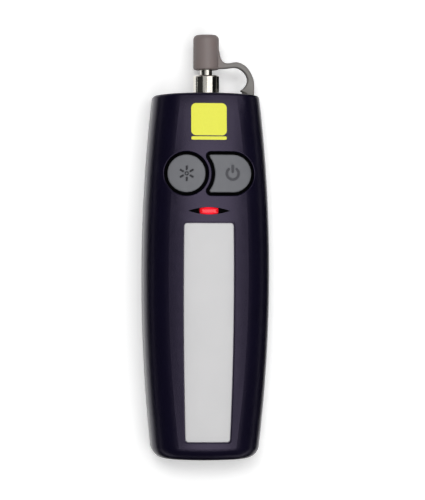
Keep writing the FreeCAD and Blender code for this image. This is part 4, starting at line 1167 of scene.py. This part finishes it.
heart = Vector([(a + b) / 2 for a, b in zip(*cad_box)])
softbox("overhead_softbox", place=(0.136, 0.0, 1.1), aim=(0.136, 0, 0), width=0.76, height=1.2,
        strength=9.5)
key = softbox("key_softbox", place=(-0.22, 0.32, 1.2), aim=heart, width=0.4, height=0.4,
              strength=4.5)
key.visible_glossy = False

# %% [markdown]
# ## The cards
#
# Cards stand round a shiny object only to be mirrored in it, so these show in reflections
# alone. Black ones on the table beside and below the tester draw the dark bands on its sides.
# By the port there are a white, a grey and two black ones, since plated metal shows nothing
# but what is round it.


# %% The cards
def card(name, corners, tone, glow):
    """A studio card that only reflections show; corners are in millimetres."""
    made = flat_face(name, corners)
    for use in ("camera", "diffuse", "shadow", "transmission"):
        setattr(made, "visible_" + use, False)
    material, tree = new_material(name + "_board")
    surface(tree, put(tree, "BsdfPrincipled", {"Base Color": linear(tone), "Roughness": 0.9,
                                               "Emission Color": linear("#ffffff"),
                                               "Emission Strength": glow}))
    made.data.materials.append(material)


OVER_PORT = 40
FLAG_X, FLAG_FOOT, FLAG_TOP = 20, 0.5, 28
LEFT_EDGE, RIGHT_EDGE = -46, 34
CARD_LEVEL = table_level + 0.3
near, far = shoulder + 1.5, shoulder + 12
low_end, high_end = foot - 60, shoulder + 60
for name, left, right, front, back, height, tone, glow in (
        ("white_card", 2.5, 34.6, near, far, OVER_PORT, "#f4f4f4", 0.8),
        ("grey_card", -17, 2.3, near, far, OVER_PORT, "#808080", 0.3),
        ("port_card", 5, 20, near, far, 0.4, "#030303", 0),
        ("left_card", -400, LEFT_EDGE, low_end, high_end, CARD_LEVEL, "#030303", 0),
        ("right_card", RIGHT_EDGE, 400, low_end, high_end, CARD_LEVEL, "#030303", 0),
        ("foot_card", LEFT_EDGE, RIGHT_EDGE, foot - 400, foot - 10, CARD_LEVEL, "#030303", 0)):
    card(name, level_corners(left, right, front, back, height), tone, glow)
card("black_flag", [(FLAG_X, near, FLAG_FOOT), (FLAG_X, far, FLAG_FOOT), (FLAG_X, far, FLAG_TOP),
                    (FLAG_X, near, FLAG_TOP)], "#030303", 0)
print("the strip of bare table is", RIGHT_EDGE - LEFT_EDGE, "mm wide")

# %% [markdown]
# ## The camera
#
# The tester is seen from straight above its face, from a little to its left. A long lens
# keeps the sides nearly parallel. It aims a little to the right of the tester's middle, and its
# distance follows from how many millimetres of the table the frame's height takes in.

# %% Camera
LENS = 180
SENSOR = 36
VIEW_HEIGHT = 500 / 3
AIM_RIGHT, AIM_DOWN = 2.33, 51.85
TURN = math.radians(5.0)
ROLL = math.radians(0.17)
aim = Vector((AIM_RIGHT, shoulder - AIM_DOWN, port_level)) * MM
reach = VIEW_HEIGHT * MM * LENS / SENSOR
camera_data = bpy.data.cameras.new("camera")
camera_data.lens = LENS
camera = add_object("camera", camera_data)
turned = Euler((0, -TURN, ROLL))
camera.location = aim + turned.to_matrix() @ Vector((0, 0, reach))
camera.rotation_euler = turned
bpy.context.scene.camera = camera
bpy.context.scene.view_settings.view_transform = "Standard"
print("camera", round(reach, 3), "m from the aim point")
